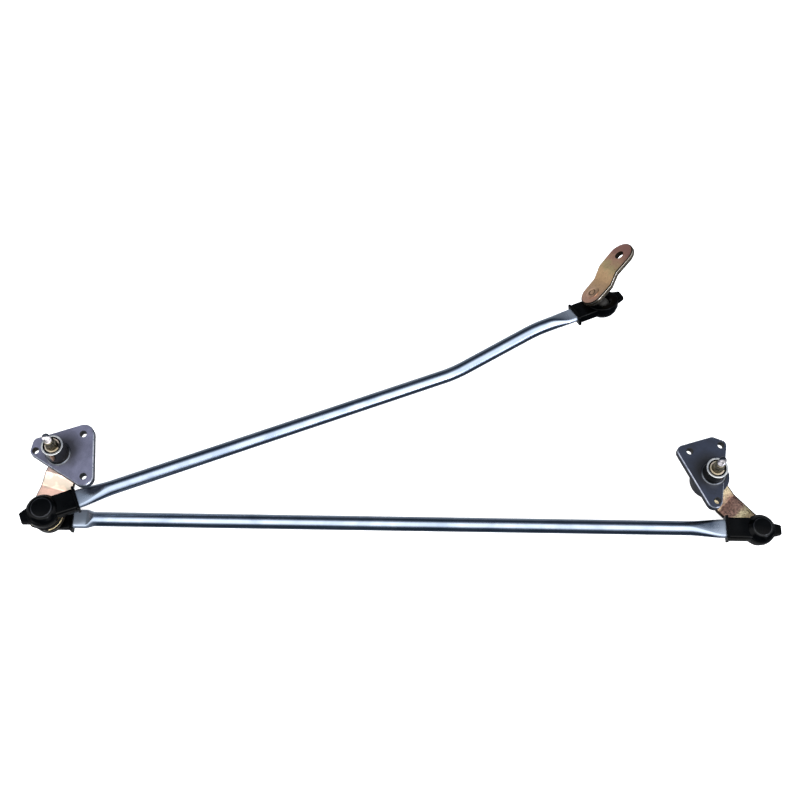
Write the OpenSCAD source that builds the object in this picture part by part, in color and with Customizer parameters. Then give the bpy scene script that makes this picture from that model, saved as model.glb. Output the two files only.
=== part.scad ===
// Wiper linkage of a truck: two pivots with their cranks, a straight coupling rod and a bent drag link
// that ends in the motor crank. All sizes are in millimetres.
// The origin is on the left pivot's shaft, at the plate face that meets the vehicle's body.
// +X runs along the coupling rod and +Z along the shafts, towards the wiper arms.

/* [Pivot plates] */
// Thickness of both cast plates
plate_t = 10; // [8:0.5:13]
// Bevel round the upper edge of a plate
plate_bevel = 1; // [0.5:0.1:2]
// Diameter of the bolt holes in the plates, for M6 bolts
bolt_hole_d = 7; // [6.4:0.1:8]
// Left plate: bolt hole at the outer end, from the shaft
left_hole_outer = [-24.8, 3]; // [-40:0.1:40]
// Left plate: bolt hole at the lower inner corner
left_hole_lower = [29.7, -25.3]; // [-40:0.1:40]
// Left plate: bolt hole at the upper inner corner
left_hole_upper = [24.3, 22.9]; // [-40:0.1:40]
// Left plate: centre of the corner that has no hole
left_blunt_corner = [-23.6, 12.6]; // [-40:0.1:40]
// Left plate: corner radii at the outer, lower, upper and blunt corner
left_corner_r = [6, 10.5, 11.5, 5.5]; // [5:0.1:14]
// Right plate: bolt hole at the foot, from the shaft
right_hole_foot = [1.9, -31]; // [-40:0.1:40]
// Right plate: bolt hole at the upper right corner
right_hole_near = [10.9, 33]; // [-40:0.1:40]
// Right plate: bolt hole at the upper left corner
right_hole_far = [-23.8, 25.4]; // [-40:0.1:40]
// Right plate: how far the foot's rounding lies left of its hole
right_foot_shift = 2.7; // [0:0.1:4]
// Right plate: how far the upper left rounding lies left of its hole
right_far_shift = 6.4; // [0:0.1:8]
// Right plate: centre of the corner that has no hole
right_blunt_corner = [2, 35.5]; // [-40:0.1:40]
// Right plate: corner radii at the foot, near, blunt and far corner
right_corner_r = [8.4, 6.5, 7.3, 7.2]; // [5:0.1:14]

/* [Bosses and hubs] */
// Outer diameter of the boss above a plate
boss_d = 23.4; // [22.4:0.2:28]
// Height of the left boss
left_boss_h = 26; // [18:0.5:34]
// Height of the right boss
right_boss_h = 18; // [16:0.5:34]
// Fillet between a boss or hub and its plate
boss_fillet = 2.5; // [1:0.1:4]
// Flat rim of the pad round a boss's fillet
pad_rim = 0.6; // [0.2:0.1:1.5]
// Chamfer on a boss's outer rim
rim_chamfer = 0.5; // [0.2:0.1:1]
// Diameter of the recess in a boss's end
recess_d = 19; // [18:0.1:20]
// Depth of the recess in a boss's end
recess_depth = 5; // [4.6:0.1:8]
// Outer diameter of the left hub, under the plate
left_hub_d = 24; // [22:0.5:30]
// Outer diameter of the right hub, under the plate
right_hub_d = 40; // [30:0.5:44]
// Length of a hub under its plate
hub_len = 19; // [18:0.5:24]

/* [Shafts] */
// Diameter of a shaft where it runs in its bushes
shaft_d = 13; // [12.8:0.1:13.4]
// Running clearance between shaft and bush, on the radius
shaft_clear = 0.05; // [0.02:0.01:0.08]
// Wall of a bush
bush_wall = 2; // [1.2:0.1:2.4]
// Length of a bush
bush_len = 10; // [6:0.5:12]
// Diameter of the cone at its foot, where the wiper arm seats
cone_foot_d = 12.6; // [12:0.1:12.8]
// Diameter of the cone at its top
cone_top_d = 9.8; // [9:0.1:11]
// Length of the cone
cone_len = 13; // [9:0.5:16]
// Diameter of the threaded tip
thread_d = 8; // [7.6:0.1:8.8]
// Length of the threaded tip
thread_len = 12; // [8:0.5:18]
// Chamfer at the end of the thread
thread_chamfer = 1; // [0.4:0.1:1.6]
// Diameter of the spigot that passes through the crank
spigot_d = 11; // [9:0.1:12]
// Diameter of the peened head under the crank
peen_d = 15; // [13:0.1:17]
// Height of every peened head
peen_h = 1.2; // [0.8:0.1:2]
// Thickness of the thrust washer on the crank
low_washer_t = 1; // [0.6:0.1:2]
// Outer diameter of the thrust washer on the crank
low_washer_d = 21; // [18:0.5:24]
// Thickness of the washer under the retaining ring
top_washer_t = 1.2; // [0.8:0.1:1.6]
// Outer diameter of the washer under the retaining ring
top_washer_d = 16.4; // [15:0.1:18]
// Thickness of the retaining ring
ring_t = 1.2; // [0.8:0.1:1.6]
// Outer diameter of the retaining ring
ring_d = 15.6; // [14:0.1:17]
// Depth of the retaining ring's groove
groove_depth = 0.8; // [0.5:0.05:1.1]
// Gap between the ends of the retaining ring
ring_gap = 5; // [3:0.5:8]
// Thickness of the shaft seal in the recess
shaft_seal_t = 2.2; // [1.6:0.1:3]
// End float of a shaft, shared by its upper and lower washer
end_float = 0.15; // [0.05:0.05:0.4]

/* [Cranks] */
// Thickness of the left and right crank
crank_t = 5; // [3.5:0.25:6]
// Drop of the ball end below the shaft end on both cranks
crank_drop = 7; // [4:0.5:9]
// Bend radius of the crank plates
crank_bend_r = 6; // [2:0.5:8]
// Left crank: throw from shaft to ball
left_throw = 59; // [54:0.5:70]
// Left crank: direction from shaft to ball, in degrees
left_angle = -105.6; // [-125:0.1:-95]
// Left crank: radius round the shaft
left_root_r = 16.5; // [14:0.5:20]
// Left crank: radius round the balls
left_end_r = 20; // [14:0.5:22]
// Left crank: how far its blunt end lies past the balls
left_end_past = 17; // [13:0.5:22]
// Left crank: where the drop starts and ends, from the shaft
left_slope = [15, 29]; // [10:0.5:40]
// Right crank: throw from shaft to ball
right_throw = 76; // [68:0.5:84]
// Right crank: direction from shaft to ball, in degrees
right_angle = -46; // [-60:0.5:-40]
// Right crank: radius round the shaft
right_root_r = 15; // [13:0.5:18]
// Right crank: radius round the ball
right_end_r = 14.5; // [13:0.5:16]
// Right crank: where the drop starts and ends, from the shaft
right_slope = [17, 30]; // [10:0.5:45]
// Motor crank: thickness
motor_t = 6; // [4:0.25:7]
// Motor crank: throw from ball to motor shaft
motor_throw = 53.3; // [46:0.1:60]
// Motor crank: rise of the motor end away from the drag link
motor_rise = 6.5; // [3:0.5:9]
// Motor crank: radius round the ball
motor_stud_r = 16; // [13:0.5:17]
// Motor crank: radius round the motor shaft's hole
motor_hub_r = 17.5; // [13:0.5:20]
// Motor crank: hole for the motor shaft
motor_hole_d = 11; // [9:0.5:15]
// Motor crank: where the rise starts and ends, from the ball
motor_slope = [17, 32]; // [14:0.5:40]

/* [Ball joints] */
// Diameter of the balls
ball_d = 16; // [14:0.25:16.5]
// Play of a ball in its socket, on the radius
ball_clear = 0.1; // [0.05:0.05:0.2]
// Diameter of a stud's neck
neck_d = 8.2; // [7:0.1:9]
// Diameter of a stud's shank in the crank
shank_d = 10; // [8.6:0.1:12]
// Diameter of the shoulder between neck and crank
shoulder_d = 13; // [11:0.1:14]
// Thickness of the shoulder between neck and crank
shoulder_t = 1.2; // [0.8:0.1:2]
// Diameter of a stud's peened head
stud_head_d = 16.8; // [13:0.1:19]
// Ball centre above the crank on the drag link's left joint
drag_stand = 13; // [11:0.5:15]
// Ball centre from the crank on both coupling rod joints
rod_stand = 10.5; // [10:0.5:13]
// Ball centre from the motor crank
motor_stand = 16; // [15.5:0.5:19]
// Outer diameter of a dust seal
seal_d = 23; // [19:0.5:25]
// Outer diameter of the wide dust seal under the drag link's left socket
drag_seal_d = 36; // [20:0.5:37]
// Outer diameter of the tilted motor crank's dust seal
motor_seal_d = 18; // [16:0.5:19]
// Thickness of a dust seal
seal_t = 2.5; // [1.8:0.1:2.8]

/* [Sockets] */
// Outer diameter of a socket's dome
socket_d = 31; // [28:0.5:32]
// Outer diameter of the flange round a socket's mouth
flange_d = 33; // [30:0.5:36]
// Outer diameter of the domes of the drag link's sockets
drag_socket_d = 34; // [30:0.5:35]
// Outer diameter of the flanges of the drag link's sockets
drag_flange_d = 36; // [32:0.5:38]
// Height of the flat cap on a dome, from the ball centre
dome_h = 11; // [10:0.25:14]
// How far the cap stands out from the dome
cap_step = 0.7; // [0.3:0.1:1.2]
// Radius of the cap as a share of its dome's
cap_share = 0.62; // [0.4:0.02:0.66]
// Height of the mouth above the ball centre
mouth_h = 6.5; // [5.5:0.25:7]
// Depth of the flange's lower edge below the ball centre
flange_depth = 1.5; // [0.5:0.25:3]
// Width of the sleeve round a rod's flat end
sleeve_w = 25.5; // [24.5:0.5:28]
// Height of the sleeve above the rod's middle plane
sleeve_up = 5.2; // [4.8:0.1:5.6]
// Depth of the sleeve below the rod's middle plane
sleeve_down = 5.8; // [4.8:0.1:6.6]
// Length of a sleeve, from the ball centre
sleeve_len = 38; // [32:0.5:42]
// Length of the coupling rod's left sleeve, from the ball centre
short_sleeve_len = 27; // [24:0.5:32]
// Thickness of the lip at a sleeve's end, along the rod
lip_t = 3; // [2:0.25:5]
// How far the lip stands out from the sleeve's sides
lip_out = 1.5; // [0.6:0.1:2]
// How far the lip stands out above and below the sleeve
lip_proud = 0.8; // [0.4:0.1:1]
// Step from the flange in to the lower sleeve
sleeve_step = 1.4; // [0.6:0.1:1.6]
// Length of the tab at the closed end, past the flange
tab_len = 7; // [4:0.5:9]
// Width of the tab at its root and at its tip
tab_w = [16, 11.5]; // [8:0.5:20]
// Width of the tabs of the drag link's sockets, at root and tip
drag_tab_w = [20, 13.5]; // [8:0.5:24]
// Thickness of the tab
tab_t = 5; // [3:0.25:7]

/* [Rods] */
// Outer diameter of both rods' tube
tube_d = 16; // [15:0.25:16.5]
// Wall of the tube
tube_wall = 1.5; // [1:0.1:2.2]
// Thickness of a rod's flattened end
flat_t = 7; // [6:0.25:7.5]
// Clearance between a flat end and its sleeve
flat_clear = 0.1; // [0.05:0.05:0.25]
// Start of a flat end, from the ball centre
flat_from = 11; // [10:0.5:14]
// Coupling rod: length from ball to ball
rod_len = 778; // [700:1:850]
// Coupling rod: end of the left flat, and length of its change to round
rod_left_flat = [40, 10]; // [8:0.5:60]
// Coupling rod: end of the right flat, and length of its change to round
rod_right_flat = [38, 42]; // [8:0.5:60]
// Drag link: direction in plan, in degrees
drag_angle = 22.6; // [16:0.1:30]
// Drag link: reach from ball to motor ball, along its straight part
drag_reach = 675; // [660:1:720]
// Drag link: where its first bend is
bend_one = 483; // [430:1:490]
// Drag link: where its second bend is
bend_two = 587; // [570:1:592]
// Drag link: slope of the part between the bends, in degrees
bend_slope = 13.7; // [8:0.1:18]
// Drag link: slope of the motor end, in degrees
end_slope = 3; // [0:0.5:6]
// Drag link: radius of the bends
bend_r = 120; // [80:5:140]
// Drag link: roll of the bend plane and the motor end, in degrees
end_roll = 25; // [0:1:35]
// Drag link: end of the left flat, and length of its change to round
drag_left_flat = [38, 40]; // [8:0.5:60]
// Drag link: end of the motor flat, and length of its change to round
drag_motor_flat = [44, 26]; // [8:0.5:60]
// Motor crank: tilt of its ball stud in the socket, in degrees
motor_tilt = 30; // [0:1:30]
// Motor crank: direction of that tilt round the socket, in degrees
motor_tilt_dir = -21; // [-60:1:60]
// Motor crank: its turn about the ball stud, in degrees
motor_turn = -146.5; // [-180:0.5:-120]

/* [Hidden] */
$fn = 64;
cut = 1;                       // how far a cutting tool passes the face it cuts
tube_sides = 24;               // corners of a tube's cross-section
flare_steps = 6;               // sections along a tube's change from flat to round
bend_steps = 5;                // sections along a tube's bend
roll_steps = 6;                // sections along the drag link's straight part, where its corners roll
crank_bend_steps = 5;          // facets along a crank's bend

zinc = "#d8bf9a";
cast_grey = "#5b6068";
black_plastic = "#17171a";
bright_steel = "#b9c0cc";
dark_steel = "#4a463c";
bronze = "#a98650";
rubber = "#1d1d1d";

shaft_r = shaft_d / 2;
boss_r = boss_d / 2;
bush_bore_r = shaft_r + shaft_clear;
bush_r = bush_bore_r + bush_wall;
spigot_r = spigot_d / 2;
groove_r = shaft_r - groove_depth;
ball_r = ball_d / 2;
cavity_r = ball_r + ball_clear;
neck_r = neck_d / 2;
shank_r = shank_d / 2;
shoulder_r = shoulder_d / 2;
tube_r = tube_d / 2;
flat_half_t = flat_t / 2;

// Half width of the tube where its half thickness is h: its girth stays that of the round tube
function half_width(h) = h + PI * (tube_r - h) / 2;

// Heights: each crank hangs from its own hub, and the balls from the cranks
crank_root_z = -plate_t - hub_len - end_float / 2 - low_washer_t;
left_end_top_z = crank_root_z - crank_drop;
drag_ball_z = left_end_top_z + drag_stand;
rod_ball_z = left_end_top_z - crank_t - rod_stand;
right_end_top_z = rod_ball_z - rod_stand;
right_face_z = right_end_top_z + crank_drop - crank_root_z;
floor_z = right_end_top_z - crank_t - peen_h;

function polar(r, a) = [r * cos(a), r * sin(a)];
left_ball = polar(left_throw, left_angle);
right_ball = left_ball + [rod_len, 0];
right_shaft = right_ball - polar(right_throw, right_angle);

// The drag link dips until its first bend lies on the surface under the linkage
drag_dip = asin((drag_ball_z - tube_r - floor_z) / bend_one);
bend_two_rise = (bend_two - bend_one) * tan(bend_slope);
drag_end_rise = bend_two_rise + (drag_reach - bend_two) * tan(end_slope);

left_corners = [
    [each left_hole_outer, left_corner_r[0]],
    [each left_hole_lower, left_corner_r[1]],
    [each left_hole_upper, left_corner_r[2]],
    [each left_blunt_corner, left_corner_r[3]],
];
right_corners = [
    [each (right_hole_foot - [right_foot_shift, 0]), right_corner_r[0]],
    [each right_hole_near, right_corner_r[1]],
    [each right_blunt_corner, right_corner_r[2]],
    [each (right_hole_far - [right_far_shift, 0]), right_corner_r[3]],
];
left_holes = [left_hole_outer, left_hole_lower, left_hole_upper];
right_holes = [right_hole_foot, right_hole_near, right_hole_far];

// Outlines: a belt is the outline that a tight band takes round a ring of circles [x, y, r]

// Ends of the straight stretch between two circles, on the outer side
function belt_side(a, b) =
    let (way = [b.x - a.x, b.y - a.y], far = norm(way), along = way / far)
    let (lean = (a[2] - b[2]) / far, out = along * lean + [along.y, -along.x] * sqrt(1 - lean * lean))
    [[a.x, a.y] + a[2] * out, [b.x, b.y] + b[2] * out];

function belt_sides(circles) =
    [for (i = [0 : len(circles) - 1]) belt_side(circles[i], circles[(i + 1) % len(circles)])];

module belt(circles) {
    polygon([for (side = belt_sides(circles)) each side]);
    for (c = circles)
        translate([c.x, c.y]) circle(r = c[2]);
}

// Plate under z = 0 with a straight bevel round its upper edge
module bevelled_plate(circles, t, bevel) {
    translate([0, 0, -t]) {
        linear_extrude(t - bevel) belt(circles);
        linear_extrude(t) belt([for (c = circles) [c.x, c.y, c[2] - bevel]]);
    }
    for (c = circles)
        translate([c.x, c.y, -bevel]) cylinder(h = bevel, r1 = c[2], r2 = c[2] - bevel);
    for (side = belt_sides(circles)) {
        way = side[1] - side[0];
        translate(side[0]) rotate([0, 0, atan2(way.y, way.x)]) rotate([90, 0, 90])
            linear_extrude(norm(way)) polygon([[0, -bevel], [bevel, -bevel], [bevel, 0]]);
    }
}

// Round post on a pad: the pad is sunk under z = 0, with a hollow fillet between pad and post
module filleted_post(r, h, fillet, chamfer, sunk) {
    pad_r = r + fillet + pad_rim;
    rotate_extrude() difference() {
        polygon([[0, -sunk], [pad_r, -sunk], [pad_r, 0], [r + fillet, 0], [r + fillet, fillet],
                 [r, fillet], [r, h - chamfer], [r - chamfer, h], [0, h]]);
        translate([r + fillet, fillet]) circle(r = fillet);
    }
}

module ring_of(outer_r, inner_r, h) {
    rotate_extrude() translate([inner_r, 0]) square([outer_r - inner_r, h]);
}

// Pivots: the shaft is at x = y = 0 and the plate's upper face at z = 0

module pivot_housing(corners, holes, boss_h, hub_d) {
    difference() {
        union() {
            bevelled_plate(corners, plate_t, plate_bevel);
            filleted_post(boss_r, boss_h, boss_fillet, rim_chamfer, plate_t);
            translate([0, 0, -plate_t - hub_len]) cylinder(h = hub_len, r = hub_d / 2);
        }
        translate([0, 0, -plate_t - hub_len - cut])
            cylinder(h = plate_t + hub_len + boss_h + 2 * cut, r = bush_r);
        translate([0, 0, boss_h - recess_depth]) cylinder(h = recess_depth + cut, r = recess_d / 2);
        for (hole = holes)
            translate([hole.x, hole.y, -plate_t - cut]) cylinder(h = plate_t + 2 * cut, r = bolt_hole_d / 2);
    }
}

module bush() {
    ring_of(bush_r, bush_bore_r, bush_len);
}

module upper_bush(boss_h) {
    translate([0, 0, boss_h - recess_depth - bush_len]) bush();
}

module lower_bush() {
    translate([0, 0, -plate_t - hub_len]) bush();
}

module shaft_seal(boss_h) {
    translate([0, 0, boss_h - recess_depth]) ring_of(recess_d / 2, bush_bore_r, shaft_seal_t);
}

// Heights in the stack above the seal, from the boss's rim
function top_washer_z(boss_h) = boss_h - recess_depth + shaft_seal_t + end_float / 2;
function ring_z(boss_h) = top_washer_z(boss_h) + top_washer_t;
function cone_z(boss_h) = ring_z(boss_h) + 2 * ring_t;

module shaft(boss_h) {
    journal_top = cone_z(boss_h);
    peen_z = crank_root_z - crank_t - peen_h;
    cone_top = journal_top + cone_len;
    tip = cone_top + thread_len;
    rotate_extrude() polygon([
        [0, peen_z], [peen_d / 2, peen_z], [peen_d / 2, peen_z + peen_h], [spigot_r, peen_z + peen_h],
        [spigot_r, crank_root_z], [shaft_r, crank_root_z],
        [shaft_r, ring_z(boss_h)], [groove_r, ring_z(boss_h)],
        [groove_r, ring_z(boss_h) + ring_t], [shaft_r, ring_z(boss_h) + ring_t],
        [shaft_r, journal_top], [cone_foot_d / 2, journal_top], [cone_top_d / 2, cone_top],
        [thread_d / 2, cone_top], [thread_d / 2, tip - thread_chamfer],
        [thread_d / 2 - thread_chamfer, tip], [0, tip],
    ]);
}

module top_washer(boss_h) {
    translate([0, 0, top_washer_z(boss_h)]) ring_of(top_washer_d / 2, bush_bore_r, top_washer_t);
}

module retaining_ring(boss_h) {
    translate([0, 0, ring_z(boss_h)]) difference() {
        ring_of(ring_d / 2, groove_r, ring_t);
        translate([0, -ring_gap / 2, -cut]) cube([ring_d, ring_gap, ring_t + 2 * cut]);
    }
}

module thrust_washer() {
    translate([0, 0, crank_root_z]) ring_of(low_washer_d / 2, bush_bore_r, low_washer_t);
}

// Cranks: plates that drop from a root at x = 0 to an end at x = throw, with the root's face at z = 0

// Upper edge of a bent plate: flat, an arc, a slope, an arc, flat
function bent_edge(from, to, drop, bend_radius) =
    let (slope = atan2(drop, to - from), lead = bend_radius * tan(slope / 2))
    concat(
        [for (i = [0 : crank_bend_steps]) let (a = slope * i / crank_bend_steps)
            [from - lead + bend_radius * sin(a), -bend_radius * (1 - cos(a))]],
        [for (i = [crank_bend_steps : -1 : 0]) let (a = slope * i / crank_bend_steps)
            [to + lead - bend_radius * sin(a), -drop + bend_radius * (1 - cos(a))]]);

// The end is round where past is at least end_r, and cut blunt where it is less
module bent_plate(throw, root_r, end_r, past, slope, drop, t) {
    edge = bent_edge(slope[0], slope[1], drop, crank_bend_r);
    upper = concat([[-root_r - cut, 0]], edge, [[throw + past, -drop]]);
    lower = [for (i = [len(upper) - 1 : -1 : 0]) upper[i] - [0, t]];
    intersection() {
        translate([0, 0, -drop - t - cut]) linear_extrude(drop + t + 2 * cut)
            belt([[0, 0, root_r], [throw, 0, end_r]]);
        rotate([90, 0, 0]) linear_extrude(2 * max(root_r, end_r) + 2 * cut, center = true)
            polygon(concat(upper, lower));
    }
}

module crank(throw, root_r, end_r, past, slope) {
    difference() {
        bent_plate(throw, root_r, end_r, past, slope, crank_drop, crank_t);
        translate([0, 0, -crank_t - cut]) cylinder(h = crank_t + 2 * cut, r = spigot_r);
        translate([throw, 0, -crank_drop - crank_t - cut]) cylinder(h = crank_t + 2 * cut, r = shank_r);
    }
}

// Ball joints: the ball's centre is the origin and the crank lies towards +Z

module ball_and_neck(stand) {
    sphere(r = ball_r);
    cylinder(h = stand, r = neck_r);
    translate([0, 0, stand - shoulder_t]) cylinder(h = shoulder_t, r = shoulder_r);
}

module ball_stud(stand, plate) {
    ball_and_neck(stand);
    translate([0, 0, stand - shoulder_t]) cylinder(h = shoulder_t + plate, r = shank_r);
    translate([0, 0, stand + plate]) cylinder(h = peen_h, r = stud_head_d / 2);
}

module dust_seal(stand, outer_d) {
    rotate_extrude() polygon([
        [neck_r, stand - shoulder_t], [neck_r, stand - seal_t],
        [outer_d / 2 - shoulder_t, stand - seal_t], [outer_d / 2, stand - shoulder_t],
        [outer_d / 2, stand], [shoulder_r, stand], [shoulder_r, stand - shoulder_t],
    ]);
}

// Plan of the flange: round mouth, sleeve towards +X and tab towards -X
module flange_plan(length, rim_r, tab) {
    circle(r = rim_r);
    translate([0, -sleeve_w / 2]) square([length, sleeve_w]);
    tab_root = -rim_r * cos(asin(tab[0] / 2 / rim_r));
    polygon([[0, -tab[0] / 2], [0, tab[0] / 2], [tab_root, tab[0] / 2],
             [-rim_r - tab_len, tab[1] / 2], [-rim_r - tab_len, -tab[1] / 2],
             [tab_root, -tab[0] / 2]]);
}

// Cross-section of a flat end, laid flat: width along X, thickness along Y
module flat_section(half_t, half_w) {
    square([2 * (half_w - half_t), 2 * half_t], center = true);
    for (side = [-1, 1])
        translate([side * (half_w - half_t), 0]) circle(r = half_t);
}

module along_x() {
    rotate([90, 0, 90]) children();
}

module socket(length, dome_r, rim_r, tab) {
    pocket_half_t = flat_half_t + flat_clear;
    pocket_half_w = half_width(flat_half_t) + flat_clear;
    edge_r = sqrt(cavity_r * cavity_r - pow(mouth_h / 2, 2));
    lower_w = sleeve_w - 2 * sleeve_step;
    difference() {
        union() {
            rotate_extrude() {
                intersection() {
                    circle(r = dome_r);
                    translate([0, cap_step - dome_h]) square([dome_r, dome_h - cap_step]);
                }
                translate([0, -dome_h]) square([cap_share * dome_r, dome_h]);
            }
            translate([0, 0, -flange_depth]) linear_extrude(flange_depth + sleeve_up)
                intersection() {
                    flange_plan(length, rim_r, tab);
                    translate([-rim_r, -rim_r]) square([rim_r + length, 2 * rim_r]);
                }
            translate([0, 0, -flange_depth]) cylinder(h = flange_depth + mouth_h, r = rim_r);
            translate([0, 0, sleeve_up - tab_t]) linear_extrude(tab_t) flange_plan(length, rim_r, tab);
            translate([0, -lower_w / 2, -sleeve_down]) cube([length, lower_w, sleeve_down + sleeve_up]);
            translate([length - lip_t, -sleeve_w / 2 - lip_out, -sleeve_down - lip_proud])
                cube([lip_t, sleeve_w + 2 * lip_out, sleeve_down + sleeve_up + 2 * lip_proud]);
        }
        sphere(r = cavity_r);
        translate([0, 0, mouth_h / 2])
            cylinder(h = mouth_h / 2 + cut, r1 = edge_r, r2 = edge_r + mouth_h / 2 + cut);
        translate([flat_from - flat_clear, 0, 0]) along_x()
            linear_extrude(length) flat_section(pocket_half_t, pocket_half_w);
    }
}

module rod_socket(length) {
    socket(length, socket_d / 2, flange_d / 2, tab_w);
}

module drag_socket() {
    socket(sleeve_len, drag_socket_d / 2, drag_flange_d / 2, drag_tab_w);
}

// Rods: one tube wall swept through stations [place, across, normal, half thickness]

function section_points(station, inset) =
    let (h = station[3] - inset, w = half_width(station[3]) - inset)
    [for (k = [0 : tube_sides - 1]) let (a = 360 * k / tube_sides)
        station[0] + station[1] * (h * cos(a) + (w - h) * sign(cos(a))) + station[2] * (h * sin(a))];

module swept_tube(stations) {
    rings = len(stations);
    n = tube_sides;
    inner = rings * n;
    points = concat(
        [for (s = stations) each section_points(s, 0)],
        [for (s = stations) each section_points(s, tube_wall)]);
    function at(ring, k) = ring * n + k % n;
    walls = [for (r = [0 : rings - 2], k = [0 : n - 1]) each [
        [at(r, k), at(r, k + 1), at(r + 1, k)],
        [at(r, k + 1), at(r + 1, k + 1), at(r + 1, k)],
        [inner + at(r, k), inner + at(r + 1, k), inner + at(r, k + 1)],
        [inner + at(r, k + 1), inner + at(r + 1, k), inner + at(r + 1, k + 1)]]];
    last = rings - 1;
    ends = [for (k = [0 : n - 1]) each [
        [at(0, k), inner + at(0, k), inner + at(0, k + 1), at(0, k + 1)],
        [at(last, k), at(last, k + 1), inner + at(last, k + 1), inner + at(last, k)]]];
    polyhedron(points, concat(walls, ends), convexity = 4);
}

function ease(t) = t * t * (3 - 2 * t);

// Distances from a ball and half thicknesses of an end: its flat, then its change to round
function end_shape(flat) = concat(
    [[flat_from, flat_half_t]],
    [for (i = [0 : flare_steps]) let (t = i / flare_steps)
        [flat[0] + flat[1] * t, flat_half_t + (tube_r - flat_half_t) * ease(t)]]);

function turned_over(list) = [for (i = [len(list) - 1 : -1 : 0]) list[i]];

module rod_tube() {
    across = [0, 1, 0];
    normal = [0, 0, 1];
    swept_tube(concat(
        [for (e = end_shape(rod_left_flat)) [[e[0], 0, 0], across, normal, e[1]]],
        [for (e = turned_over(end_shape(rod_right_flat))) [[rod_len - e[0], 0, 0], across, normal, e[1]]]));
}

// A point of the drag link: x along its straight part, rise in the plane rolled by end_roll
function rolled(x, rise) = [x, rise * sin(end_roll), rise * cos(end_roll)];
function drag_station(x, rise, slope, roll, half_t) =
    [rolled(x, rise), [0, cos(roll), -sin(roll)],
     [-sin(slope), cos(slope) * sin(roll), cos(slope) * cos(roll)], half_t];

module drag_tube() {
    lead_one = bend_r * tan(bend_slope / 2);
    lead_two = bend_r * tan((bend_slope - end_slope) / 2);
    two_x = bend_two - lead_two * cos(bend_slope);
    two_rise = bend_two_rise - lead_two * sin(bend_slope);
    roll_from = drag_left_flat[0] + drag_left_flat[1];
    roll_to = bend_one - lead_one;
    swept_tube(concat(
        [for (e = end_shape(drag_left_flat)) drag_station(e[0], 0, 0, 0, e[1])],
        [for (i = [1 : roll_steps - 1]) let (t = i / roll_steps)
            drag_station(roll_from + (roll_to - roll_from) * t, 0, 0, end_roll * t, tube_r)],
        [for (i = [0 : bend_steps]) let (a = bend_slope * i / bend_steps)
            drag_station(bend_one - lead_one + bend_r * sin(a), bend_r * (1 - cos(a)), a, end_roll, tube_r)],
        [for (i = [0 : bend_steps]) let (a = bend_slope + (end_slope - bend_slope) * i / bend_steps)
            drag_station(two_x + bend_r * (sin(bend_slope) - sin(a)),
                two_rise + bend_r * (cos(a) - cos(bend_slope)), a, end_roll, tube_r)],
        [for (e = turned_over(end_shape(drag_motor_flat)))
            drag_station(drag_reach - e[0] * cos(end_slope), drag_end_rise - e[0] * sin(end_slope),
                end_slope, end_roll, e[1])]));
}

// Places: each module moves its children from their own frame to the linkage's

module at_right_pivot() {
    translate([right_shaft.x, right_shaft.y, right_face_z]) children();
}

module on_coupling_rod() {
    translate([left_ball.x, left_ball.y, rod_ball_z]) children();
}

module at_rod_right_ball() {
    translate([right_ball.x, right_ball.y, rod_ball_z]) rotate([0, 180, 0]) children();
}

module on_drag_link() {
    translate([left_ball.x, left_ball.y, drag_ball_z]) rotate([0, drag_dip, drag_angle]) children();
}

module at_drag_left_ball() {
    translate([left_ball.x, left_ball.y, drag_ball_z]) rotate([180, 0, 0]) children();
}

module at_motor_ball() {
    on_drag_link() translate(rolled(drag_reach, drag_end_rise))
        rotate([-end_roll, 0, 0]) rotate([0, -end_slope, 0]) rotate([0, 0, 180]) children();
}

module on_motor_crank() {
    at_motor_ball() rotate([0, 0, motor_tilt_dir]) rotate([0, motor_tilt, 0])
        rotate([0, 0, motor_turn]) children();
}

// Nodes

module left_pivot_housing() {
    color(cast_grey) pivot_housing(left_corners, left_holes, left_boss_h, left_hub_d);
}

module left_upper_bush() {
    color(bronze) upper_bush(left_boss_h);
}

module left_lower_bush() {
    color(bronze) lower_bush();
}

module left_shaft_seal() {
    color(rubber) shaft_seal(left_boss_h);
}

module left_shaft() {
    color(dark_steel) shaft(left_boss_h);
}

module left_top_washer() {
    color(zinc) top_washer(left_boss_h);
}

module left_retaining_ring() {
    color(zinc) retaining_ring(left_boss_h);
}

module left_thrust_washer() {
    color(zinc) thrust_washer();
}

module left_crank() {
    color(zinc) translate([0, 0, crank_root_z]) rotate([0, 0, left_angle])
        crank(left_throw, left_root_r, left_end_r, left_end_past, left_slope);
}

module left_double_ball_stud() {
    color(bright_steel) {
        at_drag_left_ball() ball_and_neck(drag_stand);
        on_coupling_rod() ball_and_neck(rod_stand);
        translate([left_ball.x, left_ball.y, left_end_top_z - crank_t - shoulder_t])
            cylinder(h = crank_t + 2 * shoulder_t, r = shank_r);
    }
}

module left_upper_dust_seal() {
    color(rubber) at_drag_left_ball() dust_seal(drag_stand, drag_seal_d);
}

module left_lower_dust_seal() {
    color(rubber) on_coupling_rod() dust_seal(rod_stand, seal_d);
}

module coupling_rod() {
    color(bright_steel) on_coupling_rod() rod_tube();
}

module coupling_rod_left_socket() {
    color(black_plastic) on_coupling_rod() rod_socket(short_sleeve_len);
}

module coupling_rod_right_socket() {
    color(black_plastic) at_rod_right_ball() rod_socket(sleeve_len);
}

module right_pivot_housing() {
    color(cast_grey) at_right_pivot() pivot_housing(right_corners, right_holes, right_boss_h, right_hub_d);
}

module right_upper_bush() {
    color(bronze) at_right_pivot() upper_bush(right_boss_h);
}

module right_lower_bush() {
    color(bronze) at_right_pivot() lower_bush();
}

module right_shaft_seal() {
    color(rubber) at_right_pivot() shaft_seal(right_boss_h);
}

module right_shaft() {
    color(dark_steel) at_right_pivot() shaft(right_boss_h);
}

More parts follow.
